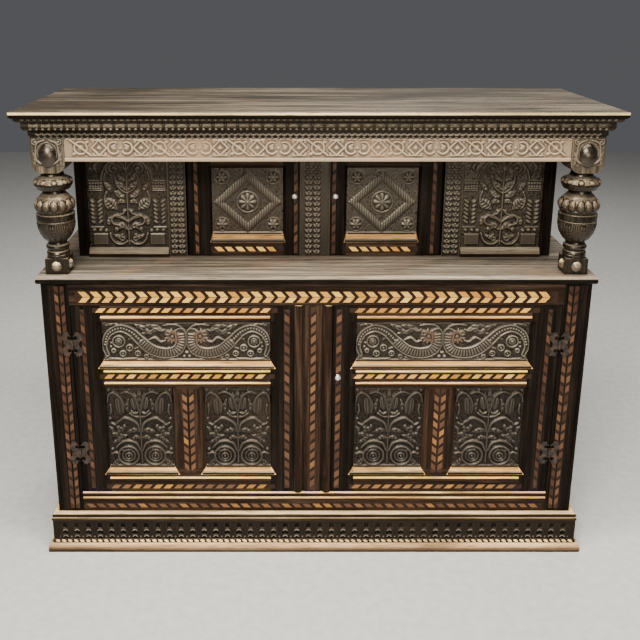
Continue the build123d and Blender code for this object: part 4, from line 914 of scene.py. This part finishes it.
def arch_panel(width, height):
    """A pair of leafy pilasters that carry an arch, with a branching stem under it."""
    r = Relief(width, height, bold=1.35, drawn=(266, 314))

    def box(left, right, foot, head):
        """A drawn rectangle's pairs of u and v on the face."""
        return r.place(((left, foot), (right, head))).T

    middle, springing = r.place((133, 228))
    window = r.window([(middle, springing)], 92)
    reach = np.hypot(r.u[window] - middle, r.v[window] - springing)
    above = r.v[window] >= springing
    for radius, size, rise in ((84, 6, 3.8), (75, 3.4, 2.6)):
        r.lift(window, rise * dome((reach - radius) / (size / 2)) * above)
    # The pilaster: its cap, its leafy shaft and its foot with a grid of dots.
    for level, rise in ((226, 2.8), (199, 3.6), (193, 2.8)):
        across, (foot, _) = box(6, 51, level, level)
        r.slab(across, (foot, foot + 3), rise)
    r.bosses(4.0, *[(11 + dot * 9, 207 + row * 11, 3.6) for row in range(2) for dot in range(5)])
    for level in range(6):
        head, foot = 162 - 14 * level, 151 - 14 * level
        r.leaves(4.4, 0, (8, (9, head), (23, foot)), (8, (47, head), (33, foot)))
    r.slab(*box(5, 50, 66, 69), 2.6)
    r.bosses(4.6, (38, 58, 6), (17, 58, 6), (57, 56, 6), (18, 304, 6), (15, 268, 5), (108, 72, 5))
    r.bosses(4.6, (68, 82, 8), (121, 124, 7), (118, 174, 7), (94, 274, 5), (122, 250, 5), (80, 246, 5))
    r.slab(*box(13, 62, 8, 45), 2.4)
    r.bosses(3.4, *[(17 + column * 5.2, 12 + row * 4.9, 1.7) for column in range(9) for row in range(7)])
    # The stem and its branches.
    r.strokes(3.2, 0.9, (4.6, (133, 8), (133, 150), (133, 300)))
    r.strokes(
        4.2, 0.4,
        (7, (128, 20), (112, 10), (90, 12), (76, 26), (70, 46)),
        (8, (131, 90), (112, 104), (92, 110), (78, 96), (84, 80), (100, 78)),
        (7, (132, 84), (118, 97), (100, 103), (84, 110)),
        (6, (128, 130), (118, 116), (104, 112)),
        (5, (131, 186), (112, 198), (100, 216), (96, 238)),
        (4, (70, 130), (60, 146), (58, 170), (66, 190)),
        (5, (96, 292), (76, 286), (66, 268), (74, 252)),
        (5, (131, 262), (122, 282), (106, 292)),
    )
    r.leaves(4.6, 0, (9, (14, 288), (36, 300)), (8, (36, 258), (30, 276), (44, 292)))
    r.leaves(
        4.6, 3,
        (15, (88, 108), (72, 94), (62, 80)),
        (12, (130, 196), (110, 216), (96, 228)),
        (13, (100, 150), (112, 158), (126, 152)),
        (13, (60, 220), (72, 206), (80, 190)),
        (11, (112, 34), (96, 34), (84, 42)),
        (12, (128, 226), (112, 238), (104, 254)),
    )
    r.leaves(4.6, 4, (18, (130, 60), (112, 73), (96, 66), (88, 50)), (17, (92, 192), (104, 182), (114, 168)))
    r.leaves(4.6, 5, (27, (98, 130), (78, 148), (60, 166)))
    r.spiral(*r.place((112, 30)), 12, 4.5, 4.0, 1.2)
    r.spiral(*r.place((92, 268)), 19, 5.0, 4.0, 1.3, 20.0)
    r.mirror()
    r.tool(matting=0.8)
    return r


def lozenge_panel(width, height):
    """A reeded lozenge band round a rosette, with a rosette in each corner."""
    r = Relief(width, height)
    middle = (width / 2, height / 2 - 4)
    lozenge = np.abs(r.u - middle[0]) / (width * 0.47) + np.abs(r.v - middle[1]) / (height * 0.46)
    band = np.clip(1.0 - np.abs(lozenge - 0.86) / 0.16, 0.0, 1.0)
    gouges = 0.30 + 0.70 * np.abs(np.cos(np.pi * r.u / 8.0))
    r.h = 5.4 * np.sqrt(band) * gouges

    def rosette(u, v, radius, petals):
        window = r.window([(u, v)], radius + 1)
        reach = np.hypot(r.u[window] - u, r.v[window] - v) / radius
        turn = np.arctan2(r.v[window] - v, r.u[window] - u)
        petal = np.abs(np.cos(turn * petals / 2))
        r.lift(window, 6.0 * dome(reach / (0.74 + 0.26 * petal)) * (0.45 + 0.55 * petal))
        r.boss(u, v, radius * 0.26, 6.4)

    rosette(*middle, 31, 8)
    r.ring(*middle, 35, 3, 2.4)
    for side in (-1, 1):
        for level in (0.14, 0.86):
            corner = (middle[0] + side * width * 0.36, height * level)
            rosette(*corner, 20, 6)
            r.ring(*corner, 23, 2.6, 2.0)
    r.band(0.5, 4.0, 2.4)
    r.tool(matting=0.6)
    return r


def nulled_muntin(width, height, columns):
    """Columns of two-lobed leaves, one above the other, between plain margins."""
    r = Relief(width, height, 1.5)
    pitch = 18.4
    lobe = 10.1
    for column in columns:
        for level in np.arange(pitch * 0.4, height - pitch * 0.5, pitch):
            for side in (-1, 1):
                r.leaf([(column + side * 1.2, level), (column + side * lobe, level + 9.0)], 9.5, 5.0)
            r.boss(column, level + 11.0, 3.0, 3.2)
    r.slab((1.0, 3.5), (0, height), 1.5)
    r.slab((width - 3.5, width - 1.0), (0, height), 1.5)
    r.tool(0.2)
    return r


def frieze_run(width, height):
    """Diamonds in squares, facing scrolls and crossed rings in turn, from the middle outwards."""
    r = Relief(width, height, bold=1.2)
    level = 41.0
    reach = 23.0
    middle = width / 2

    def diamond(u):
        corners = [(u - reach, level), (u, level + reach), (u + reach, level), (u, level - reach)]
        for start, end in zip(corners, corners[1:] + corners[:1]):
            r.stroke([start, end], 5, 3.2, 1.0)
        for side in (-1, 1):
            r.stroke([(u - 20, level + side * reach), (u + 20, level + side * reach)], 3.4, 2.6, 1.0)
            for end in (-1, 1):
                r.boss(u + side * 17.5, level + end * 17.5, 3.6, 2.6)
        r.boss(u, level, 6.0, 4.0)

    def scrolls(u):
        for side in (-1, 1):
            centre = u + side * 19.5
            arc = np.radians(np.linspace(60, 320, 14))
            points = [(centre - side * 17 * math.cos(t), level + 18 * math.sin(t)) for t in arc]
            r.stroke(points, 5.5, 3.4, 0.6)
            r.boss(centre, level, 6.5, 3.4)
            r.stroke([(centre - side * 6, level + 10), (centre + side * 8, level + 4)], 4, 3.0, 0.5)
        r.boss(u, level, 4, 3.0)

    def ring(u):
        r.ring(u, level, 19, 5, 3.4)
        r.boss(u, level, 8, 3.0)
        r.stroke([(u - 30, level + 23), (u, level + 1), (u + 30, level - 23)], 5.5, 3.6, 0.8)
        for side in (-1, 1):
            r.leaf([(u - side * 26, level - side * 20), (u - side * 14, level - side * 16)], 8, 3.0)

    widths = {diamond: 46.0, scrolls: 80.0, ring: 66.0}
    ring(middle)
    for side in (-1, 1):
        place = middle + side * widths[ring] / 2
        for motif in [diamond, scrolls, diamond, ring] * 3:
            motif(place + side * widths[motif] / 2)
            place += side * widths[motif]
    r.band(0, 11, 2.6)
    r.band(height - 6, height - 3, 1.6)
    r.tool(0.16)
    return r


def door_panels(side):
    """The carved panels of one lower door."""
    body = f"lower_door_{side}"
    left, right = door_span("lower_door", side, HINGE_STILE + MOULD_SIDE, MEETING_STILE + MOULD_SIDE)
    middle = sum(door_span("lower_door", side, HINGE_STILE, MEETING_STILE)) / 2
    upper = (MID_RAIL_TOP + MOULD_SILL, DOOR_HIGH - DOOR_TOP_RAIL - MOULD_TOP)
    lower = (DOOR_LOW + DOOR_BOTTOM_RAIL + MOULD_SILL, MID_RAIL_TOP - DOOR_MID_RAIL - MOULD_SIDE / 2)
    face_y = FRONT + PANEL_SETBACK
    serpents = serpent_panel(right - left, upper[1] - upper[0])
    serpents.build(f"serpent_panel_{side}", Face((left, face_y, upper[0])), CARVED_RUBBED, body)
    jamb = DOOR_MUNTIN / 2 + MOULD_SIDE
    for place, near, far in (("outer", left, middle - jamb), ("inner", middle + jamb, right)):
        flowers = flower_panel(far - near, lower[1] - lower[0])
        flowers.build(f"flower_panel_{side}_{place}", Face((near, face_y, lower[0])), body=body)
    foot = DOOR_LOW + DOOR_BOTTOM_RAIL
    start, end = left - MOULD_SIDE, right + MOULD_SIDE
    spans = (
        (start, end, MID_RAIL_TOP),
        (start, middle - DOOR_MUNTIN / 2, foot),
        (middle + DOOR_MUNTIN / 2, end, foot),
    )
    sill_lines(body, spans, FRONT, PANEL_SETBACK, MOULD_SILL)


def stage_panels():
    """The fixed arch panels, the doors' lozenge panels and the nulled muntins of the upper stage."""
    inner = high("nulled_muntins_outer")[X]
    outer = high("stage_sills")[X]
    base, head = high("stage_sills")[Z], low("stage_top_rail")[Z]
    for side, start in (("left", -outer), ("right", inner)):
        arch = arch_panel(outer - inner, head - base)
        face = Face((start, STAGE_FRONT + FIXED_PANEL_SETBACK, base))
        arch.build(f"arch_panel_{side}", face, CARVED_RECESS)
    for side in ("left", "right"):
        body = f"upper_door_{side}"
        insets = (UPPER_HINGE_STILE + UPPER_MOULD, UPPER_MEETING_STILE + UPPER_MOULD)
        left, right = door_span("upper_door", side, *insets)
        foot = low(f"{body}_stiles")[Z] + UPPER_BOTTOM_RAIL
        top = UPPER_DOOR_HIGH - UPPER_TOP_RAIL - UPPER_MOULD
        panel = lozenge_panel(right - left, top - foot - UPPER_SILL)
        face = Face((left, STAGE_FRONT + UPPER_SETBACK, foot + UPPER_SILL))
        panel.build(f"lozenge_panel_{side}", face, CARVED_DOOR, body)
        spans = [(left - UPPER_MOULD, right + UPPER_MOULD, foot)]
        sill_lines(body, spans, STAGE_FRONT, UPPER_SETBACK, UPPER_SILL)
    outer_width = inner - high("upper_door_right_stiles")[X] - DOOR_GAP
    centre = high("nulled_muntin_centre")[X]
    for name, start, width, columns in (
        ("left", -inner, outer_width, (20.0, 45.0)),
        ("centre", -centre, 2 * centre, (31.0, 58.0)),
        ("right", inner - outer_width, outer_width, (18.0, 43.0)),
    ):
        leaves = nulled_muntin(width, head - SHELF_TOP, columns)
        leaves.build(f"nulled_leaves_{name}", Face((start, STAGE_FRONT, SHELF_TOP)), CARVED_RECESS)


def sill_lines(body, spans, front, depth, rise):
    """A dark strip of painted shadow in the quirk at the foot of each sloping sill and another at its head,
    and a duller fillet of painted shade above the foot's strip.

    A sill runs from one x to another, and its slope starts at its foot's front edge. The lines' places are
    shares of the slope.
    """
    # Dark strips of painted shadow in the quirk, and a duller fillet of painted shade.
    quirk, fillet = ("shadow_quirks", "peg", 0.35), ("shaded_fillets", "dull", 0.6)
    slope = math.hypot(depth, rise)
    for (name, kind, proud), lines in ((quirk, ((0.02, 0.23), (0.90, 0.98))), (fillet, ((0.23, 0.36),))):
        strips = Solids()
        for start, end, foot in spans:
            face = Face((0.0, front, foot), up=(0.0, depth, rise))
            for least, most in lines:
                inset = 1.0 + depth * most * 1.5
                near, far, low_v, high_v = start + inset, end - inset, least * slope, most * slope
                strips.plate(face, [(near, low_v), (far, low_v), (far, high_v), (near, high_v)], -0.3, proud)
        strips.build(f"sill_{name}_{body}", OAK[kind][X], body)


def frieze():
    """The carved frieze between the corner blocks."""
    start, end = low("frieze_front")[X], high("frieze_front")[X]
    base, top = low("frieze_front")[Z], low("cornice")[Z]
    run = frieze_run(end - start, top - base)
    face = Face((start, low("frieze_front")[Y], base))
    run.build("frieze_carving", face, CARVED_PALE, slot="pale_frieze_oak")


# --- Cornice, plinth and foot ---
def three_faces(half, front, back, out):
    """The front, right and left faces of a moulding that stands out from the walls, with their lengths."""
    half = half + out
    face_y = front - out
    depth = back - face_y
    return (
        ("front", (-half, face_y), (1, 0, 0), 2 * half),
        ("right", (half, face_y), (0, 1, 0), depth),
        ("left", (-half, back), (0, -1, 0), depth),
    )


def spread(length, margin, pitch):
    """How many whole pitches fit between two margins, and where the first one starts."""
    count = int((length - margin) / pitch)
    return count, (length - count * pitch) / 2


def cornice_studs():
    """Rows of cut nail-heads, dots and crescents on the cornice."""
    base = low("cornice")[Z]
    half = high("frieze_sides")[X]
    pitch = 36.7
    # Each row with its level and its reach, as shares of the cornice's height and projection.
    for row, share, reach in (
        ("bed_dots", 0.045, 0.12),
        ("smiles", 0.22, 0.22),
        ("dots", 0.48, 0.54),
        ("large_studs", 0.67, 0.60),
        ("dashes", 0.955, 1.0),
    ):
        for side, start, right, length in three_faces(half, FRONT, BACK, reach * CORNICE_PROJECTION):
            solids = Solids()
            face = Face((*start, base + share * CORNICE_HEIGHT), right)
            count, first = spread(length, 14, pitch)
            for unit in range(count):
                u = first + (unit + 0.5) * pitch
                if row == "large_studs":
                    solids.stud(face, u, -0.5, half_u=15.0, half_v=7.0, rise=7.4)
                    solids.stud(face, u + pitch / 2, 1.5, half_u=3.4, half_v=3.4, rise=4.0)
                    continue
                for place in (u - pitch / 4, u + pitch / 4):
                    if row == "smiles":
                        solids.bent_bead(
                            face, place, 7.0, radius=11.0, width=6.2, rise=5.4, start=212.0, sweep=116.0
                        )
                    elif row == "dashes":
                        solids.stud(face, place, 0.0, half_u=6.0, half_v=2.4, rise=2.6)
                    else:
                        solids.dome(
                            face, place, 0.0, radius_u=5.4, radius_v=4.4, rise=6.0, around=8, rings=3
                        )
            solids.build(f"cornice_{row}_{side}", OAK["stud"][X])


def plinth():
    """The plinth boards, with a row of scooped flutes and crescents between plain ends."""
    top = high("plinth_boards")[Z]
    half, front = high("plinth_boards")[X], low("plinth_boards")[Y]
    step = 1.7
    levels = np.concatenate([[0.0], np.arange(FOOT_HEIGHT + 2, top, step), [top]])
    pitch = 39.5
    for side, start, right, length in (
        ("front", (-half, front), (1, 0, 0), 2 * half),
        ("right", (half, FRONT), (0, 1, 0), BACK - FRONT),
        ("left", (-half, BACK), (0, -1, 0), BACK - FRONT),
    ):
        r = Relief(length, top, step, levels)
        _, first = spread(length, 8, pitch)
        u = (r.u - first) % pitch - pitch / 2
        inside = (r.u > first) & (r.u < length - first)
        # A round-headed flute and two hollows, each with its foot, head, half width and depth.
        for foot, head, half_width, depth in (
            (81.0, 103.0, 8.0, 4.6),
            (55.0, 78.0, 9.6, 5.4),
            (40.0, 54.0, 9.6, 4.0),
        ):
            crown = np.clip(r.v - (head - half_width), 0.0, None)
            across = np.hypot(u, crown) / half_width
            cut = depth * dome(across) ** 0.5 * np.clip((r.v - foot) / 3.0, 0.0, 1.0)
            r.h = np.where(inside, np.minimum(r.h, -cut), r.h)
        # A crescent hood over each hollow.
        for foot, half_width, rise in ((69.5, 8.8, 9.5), (47.0, 9.0, 8.5)):
            level = r.v - foot
            hollow = np.hypot(u / (0.60 * half_width), level / (0.45 * rise))
            whole = dome(np.hypot(u / half_width, level / rise))
            hood = np.where((level > 0) & (hollow > 1), whole, 0.0) * inside
            r.h = np.where(hood > 0, 1.3 * hood**0.5, r.h)
            r.warm(np.clip(hood * 2.0, 0.0, 1.0))
        dots = dome(np.hypot((np.abs(u) - pitch / 2) / 3.0, (r.v - 49.0) / 4.0)) * inside
        r.h = np.where(dots > 0, 1.3 * dots, r.h)
        r.warm(0.6 * dots)
        r.h = r.h - 1.5
        r.tool(0.05, 0)
        face = Face((*start, 0.0), right)
        thick = half - CARCASS_HALF
        board = r.build(f"plinth_{side}", face, CARVED_PLINTH, slot="dark_waxed_oak", back=thick)
        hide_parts("plinth_boards")


def foot_beads():
    """A row of slanting bulges along the foot moulding's upper edge, on a dark plate of painted shade between
    them.
    """
    half, front = high("plinth_boards")[X], low("plinth_boards")[Y]
    pitch = 20.6
    slope = np.array([-8.0, 8.8])
    for side, start, right, length in three_faces(half, front, BACK, 4.0):
        outward = np.cross(right, (0, 0, 1))
        up = outward * slope[0] + np.array([0, 0, 1]) * slope[1]
        face = Face((*start, FOOT_HEIGHT - 4.4), right, up)
        solids = Solids()
        count, first = spread(length, 6, pitch)
        for unit in range(count):
            u = first + (unit + 0.5) * pitch
            solids.dome(face, u, 0.0, radius_u=7.6, radius_v=5.4, rise=4.0, lean=-0.6)
        solids.build(f"foot_beads_{side}", OAK["rope"][X])
        # A dark plate of painted shade behind the bulges.
        groove = Solids()
        groove.plate(face, [(2, -5.4), (length - 2, -5.4), (length - 2, 5.4), (2, 5.4)], -0.3, 0.3)
        groove.build(f"foot_groove_{side}", OAK["peg"][X])


# --- Columns and corner blocks ---
def column_carving(side):
    """Carved bands on one column: bosses on its disc, eggs on its cover and leaves on its cup."""
    node = f"column_{side}"
    block = 70.0
    boss_rise = 9.0
    # The outermost bosses stand on the square blocks, which centre on the columns' axes.
    offset = abs(low("column_block_bosses")[X] + boss_rise + block / 2)
    axis = (-offset if side == "left" else offset, (low(node)[Y] + high(node)[Y]) / 2)
    foot = SHELF_TOP + 51.0
    turned_height = 277.0
    points = np.array([vertex.co for vertex in NODES[node].data.vertices]) / MM
    radius = np.hypot(points[:, X] - axis[X], points[:, Y] - axis[Y])
    levels = np.unique(points[:, Z].round(1))
    levels = levels[(levels > foot) & (levels < foot + turned_height)]
    reach = np.array([radius[np.abs(points[:, Z] - level) < 0.06].max() for level in levels])
    around = 2 * math.pi * 56.0
    step = 1.4

    def radius_at(level):
        return np.interp(level, levels, reach)

    def finish(band, name, base):
        band.wrap(f"{node}_{name}", axis, foot + base, radius_at, CARVED_TURNED)

    # Eggs round the cover.
    eggs = Relief(around, 46.0, step)
    count = 14
    pitch = around / count
    for egg in range(count):
        u = (egg + 0.5) * pitch
        eggs.boss(u, 19.0, pitch * 0.43, 7.0, 17.5)
        eggs.warm(dome(np.hypot((eggs.u - u) / (pitch * 0.42), (eggs.v - 18.0) / 16.0)))
    eggs.band(0.0, 2.5, 1.8)
    eggs.tool(0.1)
    finish(eggs, "eggs", base=154.0)
    # Leaves and flutes round the cup.
    cup = Relief(around, 70.0, step)
    count = 8
    pitch = around / count
    for leaf in range(count):
        u = (leaf + 0.5) * pitch
        for shift in (-9.5, -3.2, 3.2, 9.5):
            cup.stroke([(u + shift * 0.35, 8), (u + shift, 40), (u + shift, 64)], 4.6, 2.6, 0.7)
        for end in (-1, 1):
            edge = u + end * pitch / 2
            cup.leaf([(edge - end * 2, 6), (edge - end * 6, 30), (edge - end * 3, 60)], 11, 3.4, 5)
            cup.boss(edge - end * 9, 44, 3.2, 2.8)
    cup.band(66.0, 69.0, 1.6)
    cup.tool(0.15)
    finish(cup, "leaves", base=52.0)
    # Small bosses on the disc's upper slope.
    disc = Relief(around, 17.0, step)
    count = 10
    for boss in range(count):
        u = (boss + 0.5) * around / count
        disc.boss(u, 8.0, 8.0, 5.6, 6.8)
        disc.warm(dome(np.hypot((disc.u - u) / 7.0, (disc.v - 8.0) / 6.0)))
    disc.tool(0.1)
    finish(disc, "disc_bosses", base=239.0)


def corner_strapwork(side):
    """Carved straps round the egg on the front of one corner block."""
    margin = 3.0
    near, far = high("frieze_front")[X], high("corner_blocks")[X]
    foot, front = low("corner_blocks")[Z] + 22.0, low("corner_blocks")[Y]
    r = Relief(far - near - 2 * margin, low("cornice")[Z] - 1.0 - foot, 1.4)
    middle, top = r.width / 2, r.height
    for sign in (-1, 1):
        shoulder = (middle + sign * 34, 56)
        r.stroke([(middle + sign * 12, 4), (middle + sign * 34, 20), shoulder], 7, 3.4, 0.6)
        r.stroke([shoulder, (middle + sign * 28, top - 14), (middle + sign * 8, top - 6)], 7, 3.4, 0.6)
        r.leaf([(middle + sign * 40, 4), (middle + sign * 38, 24), (middle + sign * 42, 44)], 9, 3.2, 3)
        r.spiral(middle + sign * 36, top - 12, 9, 4.0, 3.2, 1.2, 90.0, -sign)
    r.ring(middle, top / 2, 30, 3.0, 1.6)
    r.tool(0.2, matting=1.6)
    start = -far if side == "left" else near
    r.build(f"corner_strapwork_{side}", Face((start + margin, front, foot)), CARVED_CORNER)


# --- Inlay ---
class Inlay:
    """Rows of light and dark slanting slips on the flat front of a member."""

    PITCH = 35.0
    LIGHT = 0.64
    PROUD = 0.45
    DARK_TONE = 0.05

    def __init__(self, face_y):
        self.solids = Solids()
        self.face = Face((0.0, face_y, 0.0))

    def row(self, start, end, centre, width, slant, upright=False, tone=0.8, pitch=PITCH):
        """Slips between two places, centred on a line. slant is the shift of each slip across its width."""
        light = pitch * self.LIGHT
        count, _ = spread(end - start, abs(slant), pitch)
        first = (start + end) / 2 - count * pitch / 2
        half, lean = width / 2, slant / 2
        low_v, high_v = centre - half - 1, centre + half + 1
        ground = [(start, low_v), (end, low_v), (end, high_v), (start, high_v)]
        self.slip(ground, upright, 0.2, 0.26 if upright else 0.14)
        for unit in range(count):
            place = first + unit * pitch + rng.uniform(-0.8, 0.8)
            light_tone = tone + rng.uniform(-0.16, 0.10)
            for run, length, slip_tone in ((0.0, light, light_tone), (light, pitch - light, self.DARK_TONE)):
                near, far = place + run + 0.3, place + run + length - 0.3
                corners = [(near - lean, centre - half), (far - lean, centre - half)]
                corners += [(far + lean, centre + half), (near + lean, centre + half)]
                self.slip(corners, upright, self.PROUD, min(max(slip_tone, 0.0), 1.0))

    def slip(self, corners, upright, proud, tone):
        if upright:
            corners = [(across, place) for place, across in corners][::-1]
        self.solids.plate(self.face, corners, -0.3, proud, tone)

    def build(self, name, body="carcass"):
        self.solids.build(name, INLAY, body, "dark_waxed_oak")


def door_inlay(side):
    """The inlaid rows of one lower door."""
    left, right = door_span("lower_door", side, HINGE_STILE, MEETING_STILE)
    middle = (left + right) / 2
    near, far = door_span("lower_door", side, 36.0, 22.0 if side == "left" else 19.0)
    hinge, meeting, slant = (near, far, -11.0) if side == "left" else (far, near, 11.0)
    slips = Inlay(FRONT)
    slips.row(left - 6, right + 6, DOOR_HIGH - 15.0, width=14.0, slant=13.0, tone=0.80)
    slips.row(left + 4, right - 4, MID_RAIL_TOP - 27.0, width=14.0, slant=13.0, tone=0.84)
    slips.row(left + 4, right - 4, DOOR_LOW + 18.0, width=14.0, slant=13.0, tone=0.66)
    slips.row(DOOR_LOW + 12, DOOR_HIGH - 12, hinge, width=11.0, slant=-10.0, upright=True, tone=0.34)
    slips.row(DOOR_LOW + 12, DOOR_HIGH - 12, meeting, width=15.0, slant=slant, upright=True, tone=0.40)
    foot, head = DOOR_LOW + DOOR_BOTTOM_RAIL + 8, MID_RAIL_TOP - DOOR_MID_RAIL - 8
    slips.row(foot, head, middle - 11.0, width=14.0, slant=-12.0, upright=True, tone=0.56, pitch=31.5)
    slips.row(foot, head, middle + 11.0, width=14.0, slant=12.0, upright=True, tone=0.56, pitch=31.5)
    slips.build(f"inlay_lower_door_{side}", f"lower_door_{side}")


def carcass_inlay():
    """The inlaid rows of the posts, the top and bottom rails and the centre muntin."""
    rail = Inlay(FRONT)
    end = CARCASS_HALF - 105.0
    head = high("lower_top_rail")[Z]
    rail.row(-end, end, head - 38.5, width=17.0, slant=-15.0, tone=0.9, pitch=36.4)
    rail.row(-end, end, head - 57.5, width=17.0, slant=15.0, tone=0.9, pitch=36.4)
    bottom_row = 158.0
    rail.row(-end - 12, end + 12, bottom_row, width=14.0, slant=-13.0, tone=0.54)
    rail.build("inlay_carcass_rails")
    post = Inlay(FRONT)
    base = high("plinth_cap_moulding")[Z] + 10
    for side in (-1, 1):
        for place, slant in ((804.5, -9.0), (823.0, 9.0)):
            post.row(base, head - 12, side * place, width=11.0, slant=side * slant, upright=True, tone=0.40)
    post.build("inlay_posts")
    muntin = Inlay(FRONT)
    centre = (low("lower_centre_muntin")[X] + high("lower_centre_muntin")[X]) / 2
    muntin.row(DOOR_LOW + 4, DOOR_HIGH - 4, centre, width=15.0, slant=13.0, upright=True, tone=0.50)
    muntin.build("inlay_centre_muntin")


def upper_inlay(side):
    """The inlaid rows of one upper door."""
    body = f"upper_door_{side}"
    base, head = low(f"{body}_stiles")[Z], high(f"{body}_stiles")[Z]
    sign = -1 if side == "left" else 1
    hinge, meeting = sign * 394.0, sign * 63.5
    slips = Inlay(STAGE_FRONT)
    slips.row(base + 6, head - 6, hinge, width=10.0, slant=-9.0, upright=True, tone=0.40)
    slips.row(base + 6, head - 6, meeting, width=10.0, slant=9.0, upright=True, tone=0.36)
    near, far = sorted((sign * 104.0, sign * 348.0))
    slips.row(near, far, base + 22.0, width=15.0, slant=-13.0, tone=0.95)
    slips.build(f"inlay_{body}", body)


# --- Small fastenings ---
def peg_heads():
    """The ends of the oak pegs that hold each tenon."""
    face = Face((0, FRONT, 0))
    post_middle = 842.0
    round_end = {"rise": 0.7, "around": 10, "rings": 2}
    for side in ("left", "right"):
        pegs = Solids()
        hinge, meeting = sorted(door_span("lower_door", side, 60.0, 44.0), reverse=side == "right")
        for level in (DOOR_HIGH - 24, MID_RAIL_TOP - 14, MID_RAIL_TOP - 48, DOOR_LOW + 26, DOOR_LOW + 50):
            for place in (hinge, meeting):
                pegs.dome(face, place, level, radius_u=3.6, radius_v=3.6, **round_end)
        pegs.build(f"pegs_lower_door_{side}", OAK["peg"][Z], f"lower_door_{side}")
    posts = Solids()
    head = high("lower_top_rail")[Z]
    for side in (-1, 1):
        for level in (head - 22, head - 52, 152.0, 190.0):
            posts.dome(face, side * post_middle, level, radius_u=4.0, radius_v=4.0, **round_end)
    posts.build("pegs_posts", OAK["peg"][Z])


def hinge_nails():
    """Two nails in the root and one in each comb of every hinge leaf."""
    face = Face((0, FRONT - HINGE_PLATE, 0))
    radius = 2.4
    # Each piece's leaves: the side of the cupboard, and the way that the leaf runs from its pin.
    for name, body, leaves in (
        ("door_left", "lower_door_left", [(-1, 1)]),
        ("door_right", "lower_door_right", [(1, -1)]),
        ("posts", "carcass", [(-1, -1), (1, 1)]),
    ):
        nails = Solids()
        for end, toward in leaves:
            for level in HINGE_LEVELS:
                for u, v in ((14.0, 9.5), (14.0, -9.5), (20.4, 39.0), (20.4, -39.0)):
                    place = end * HINGE_PIN + toward * u
                    nails.dome(face, place, level + v, radius, radius, rise=1.3, around=8, rings=3)
        nails.build(f"hinge_nails_{name}", IRON, body, "wrought_iron")


# --- Floor, light and camera ---
def studio_floor():
    half = 7.0
    mesh = bpy.data.meshes.new("floor")
    corners = [(-half, -half, 0), (half, -half, 0), (half, half, 0), (-half, half, 0)]
    mesh.from_pydata(corners, [], [(0, 1, 2, 3)])
    floor = bpy.data.objects.new("floor", mesh)
    bpy.context.scene.collection.objects.link(floor)
    m = Nodes("pale_floor")
    mottle = m.noise(even(30.0))
    m.link(m.ramp(mottle, (0.35, (0.44, 0.435, 0.425)), (0.65, (0.50, 0.495, 0.485))), "Base Color")
    m.set(Roughness=0.9)
    mesh.materials.append(m.material)


def studio_world(strength):
    world = bpy.data.worlds.new("studio")
    bpy.context.scene.world = world
    world.use_nodes = True
    background = world.node_tree.nodes["Background"]
    background.inputs["Color"].default_value = (0.92, 0.94, 1.0, 1.0)
    background.inputs["Strength"].default_value = strength


WARM_WHITE = (1.0, 0.95, 0.87)
WHITE = (1.0, 0.97, 0.92)


def area_light(name, location, target, size, watts, colour=WARM_WHITE):
    light = bpy.data.lights.new(name, "AREA")
    light.shape = "RECTANGLE"
    light.size, light.size_y = size
    light.energy = watts
    light.color = colour
    lamp = bpy.data.objects.new(name, light)
    lamp.location = location
    direction = np.array(target) - np.array(location)
    yaw = math.atan2(direction[0], -direction[1])
    tilt = math.atan2(-direction[2], math.hypot(direction[0], direction[1]))
    lamp.rotation_euler = (math.pi / 2 - tilt, 0.0, math.pi + yaw)
    bpy.context.scene.collection.objects.link(lamp)


def photo_camera():
    """The photograph's view: its lens, and how far its frame is shifted off the lens axis."""
    frame_pixels = 640
    focal_pixels = 813.6
    principal_point = (285.7, 218.0)
    pitch_down = 0.2683
    data = bpy.data.cameras.new("camera")
    data.sensor_width = 36.0
    data.lens = focal_pixels / frame_pixels * data.sensor_width
    data.shift_x = (frame_pixels / 2 - principal_point[0]) / frame_pixels
    data.shift_y = (principal_point[1] - frame_pixels / 2) / frame_pixels
    camera = bpy.data.objects.new("camera", data)
    camera.location = (-0.0969, -2.6952, 1.8391)
    camera.rotation_euler = (math.pi / 2 - pitch_down, 0.0, 0.0)
    bpy.context.scene.collection.objects.link(camera)
    bpy.context.scene.camera = camera


dress_nodes()
for door_side in ("left", "right"):
    door_panels(door_side)
    door_inlay(door_side)
    upper_inlay(door_side)
    column_carving(door_side)
    corner_strapwork(door_side)
stage_panels()
frieze()
cornice_studs()
plinth()
foot_beads()
carcass_inlay()
peg_heads()
hinge_nails()

studio_floor()
studio_world(strength=0.10)
area_light("ceiling_softbox", (0.0, -0.9, 3.4), target=(0.0, -0.3, 0.8), size=(3.2, 0.9), watts=240.0)
area_light("front_softbox", (-0.9, -3.6, 3.3), target=(0.0, -0.28, 0.8), size=(1.6, 1.0), watts=270.0)
area_light("low_fill", (0.8, -4.2, 1.5), target=(0.0, -0.1, 1.1), size=(1.6, 1.0), watts=60.0)
area_light(
    "back_softbox", (1.2, 3.0, 4.4), target=(0.0, 0.3, 0.8), size=(2.4, 1.4), watts=120.0, colour=WHITE
)
photo_camera()
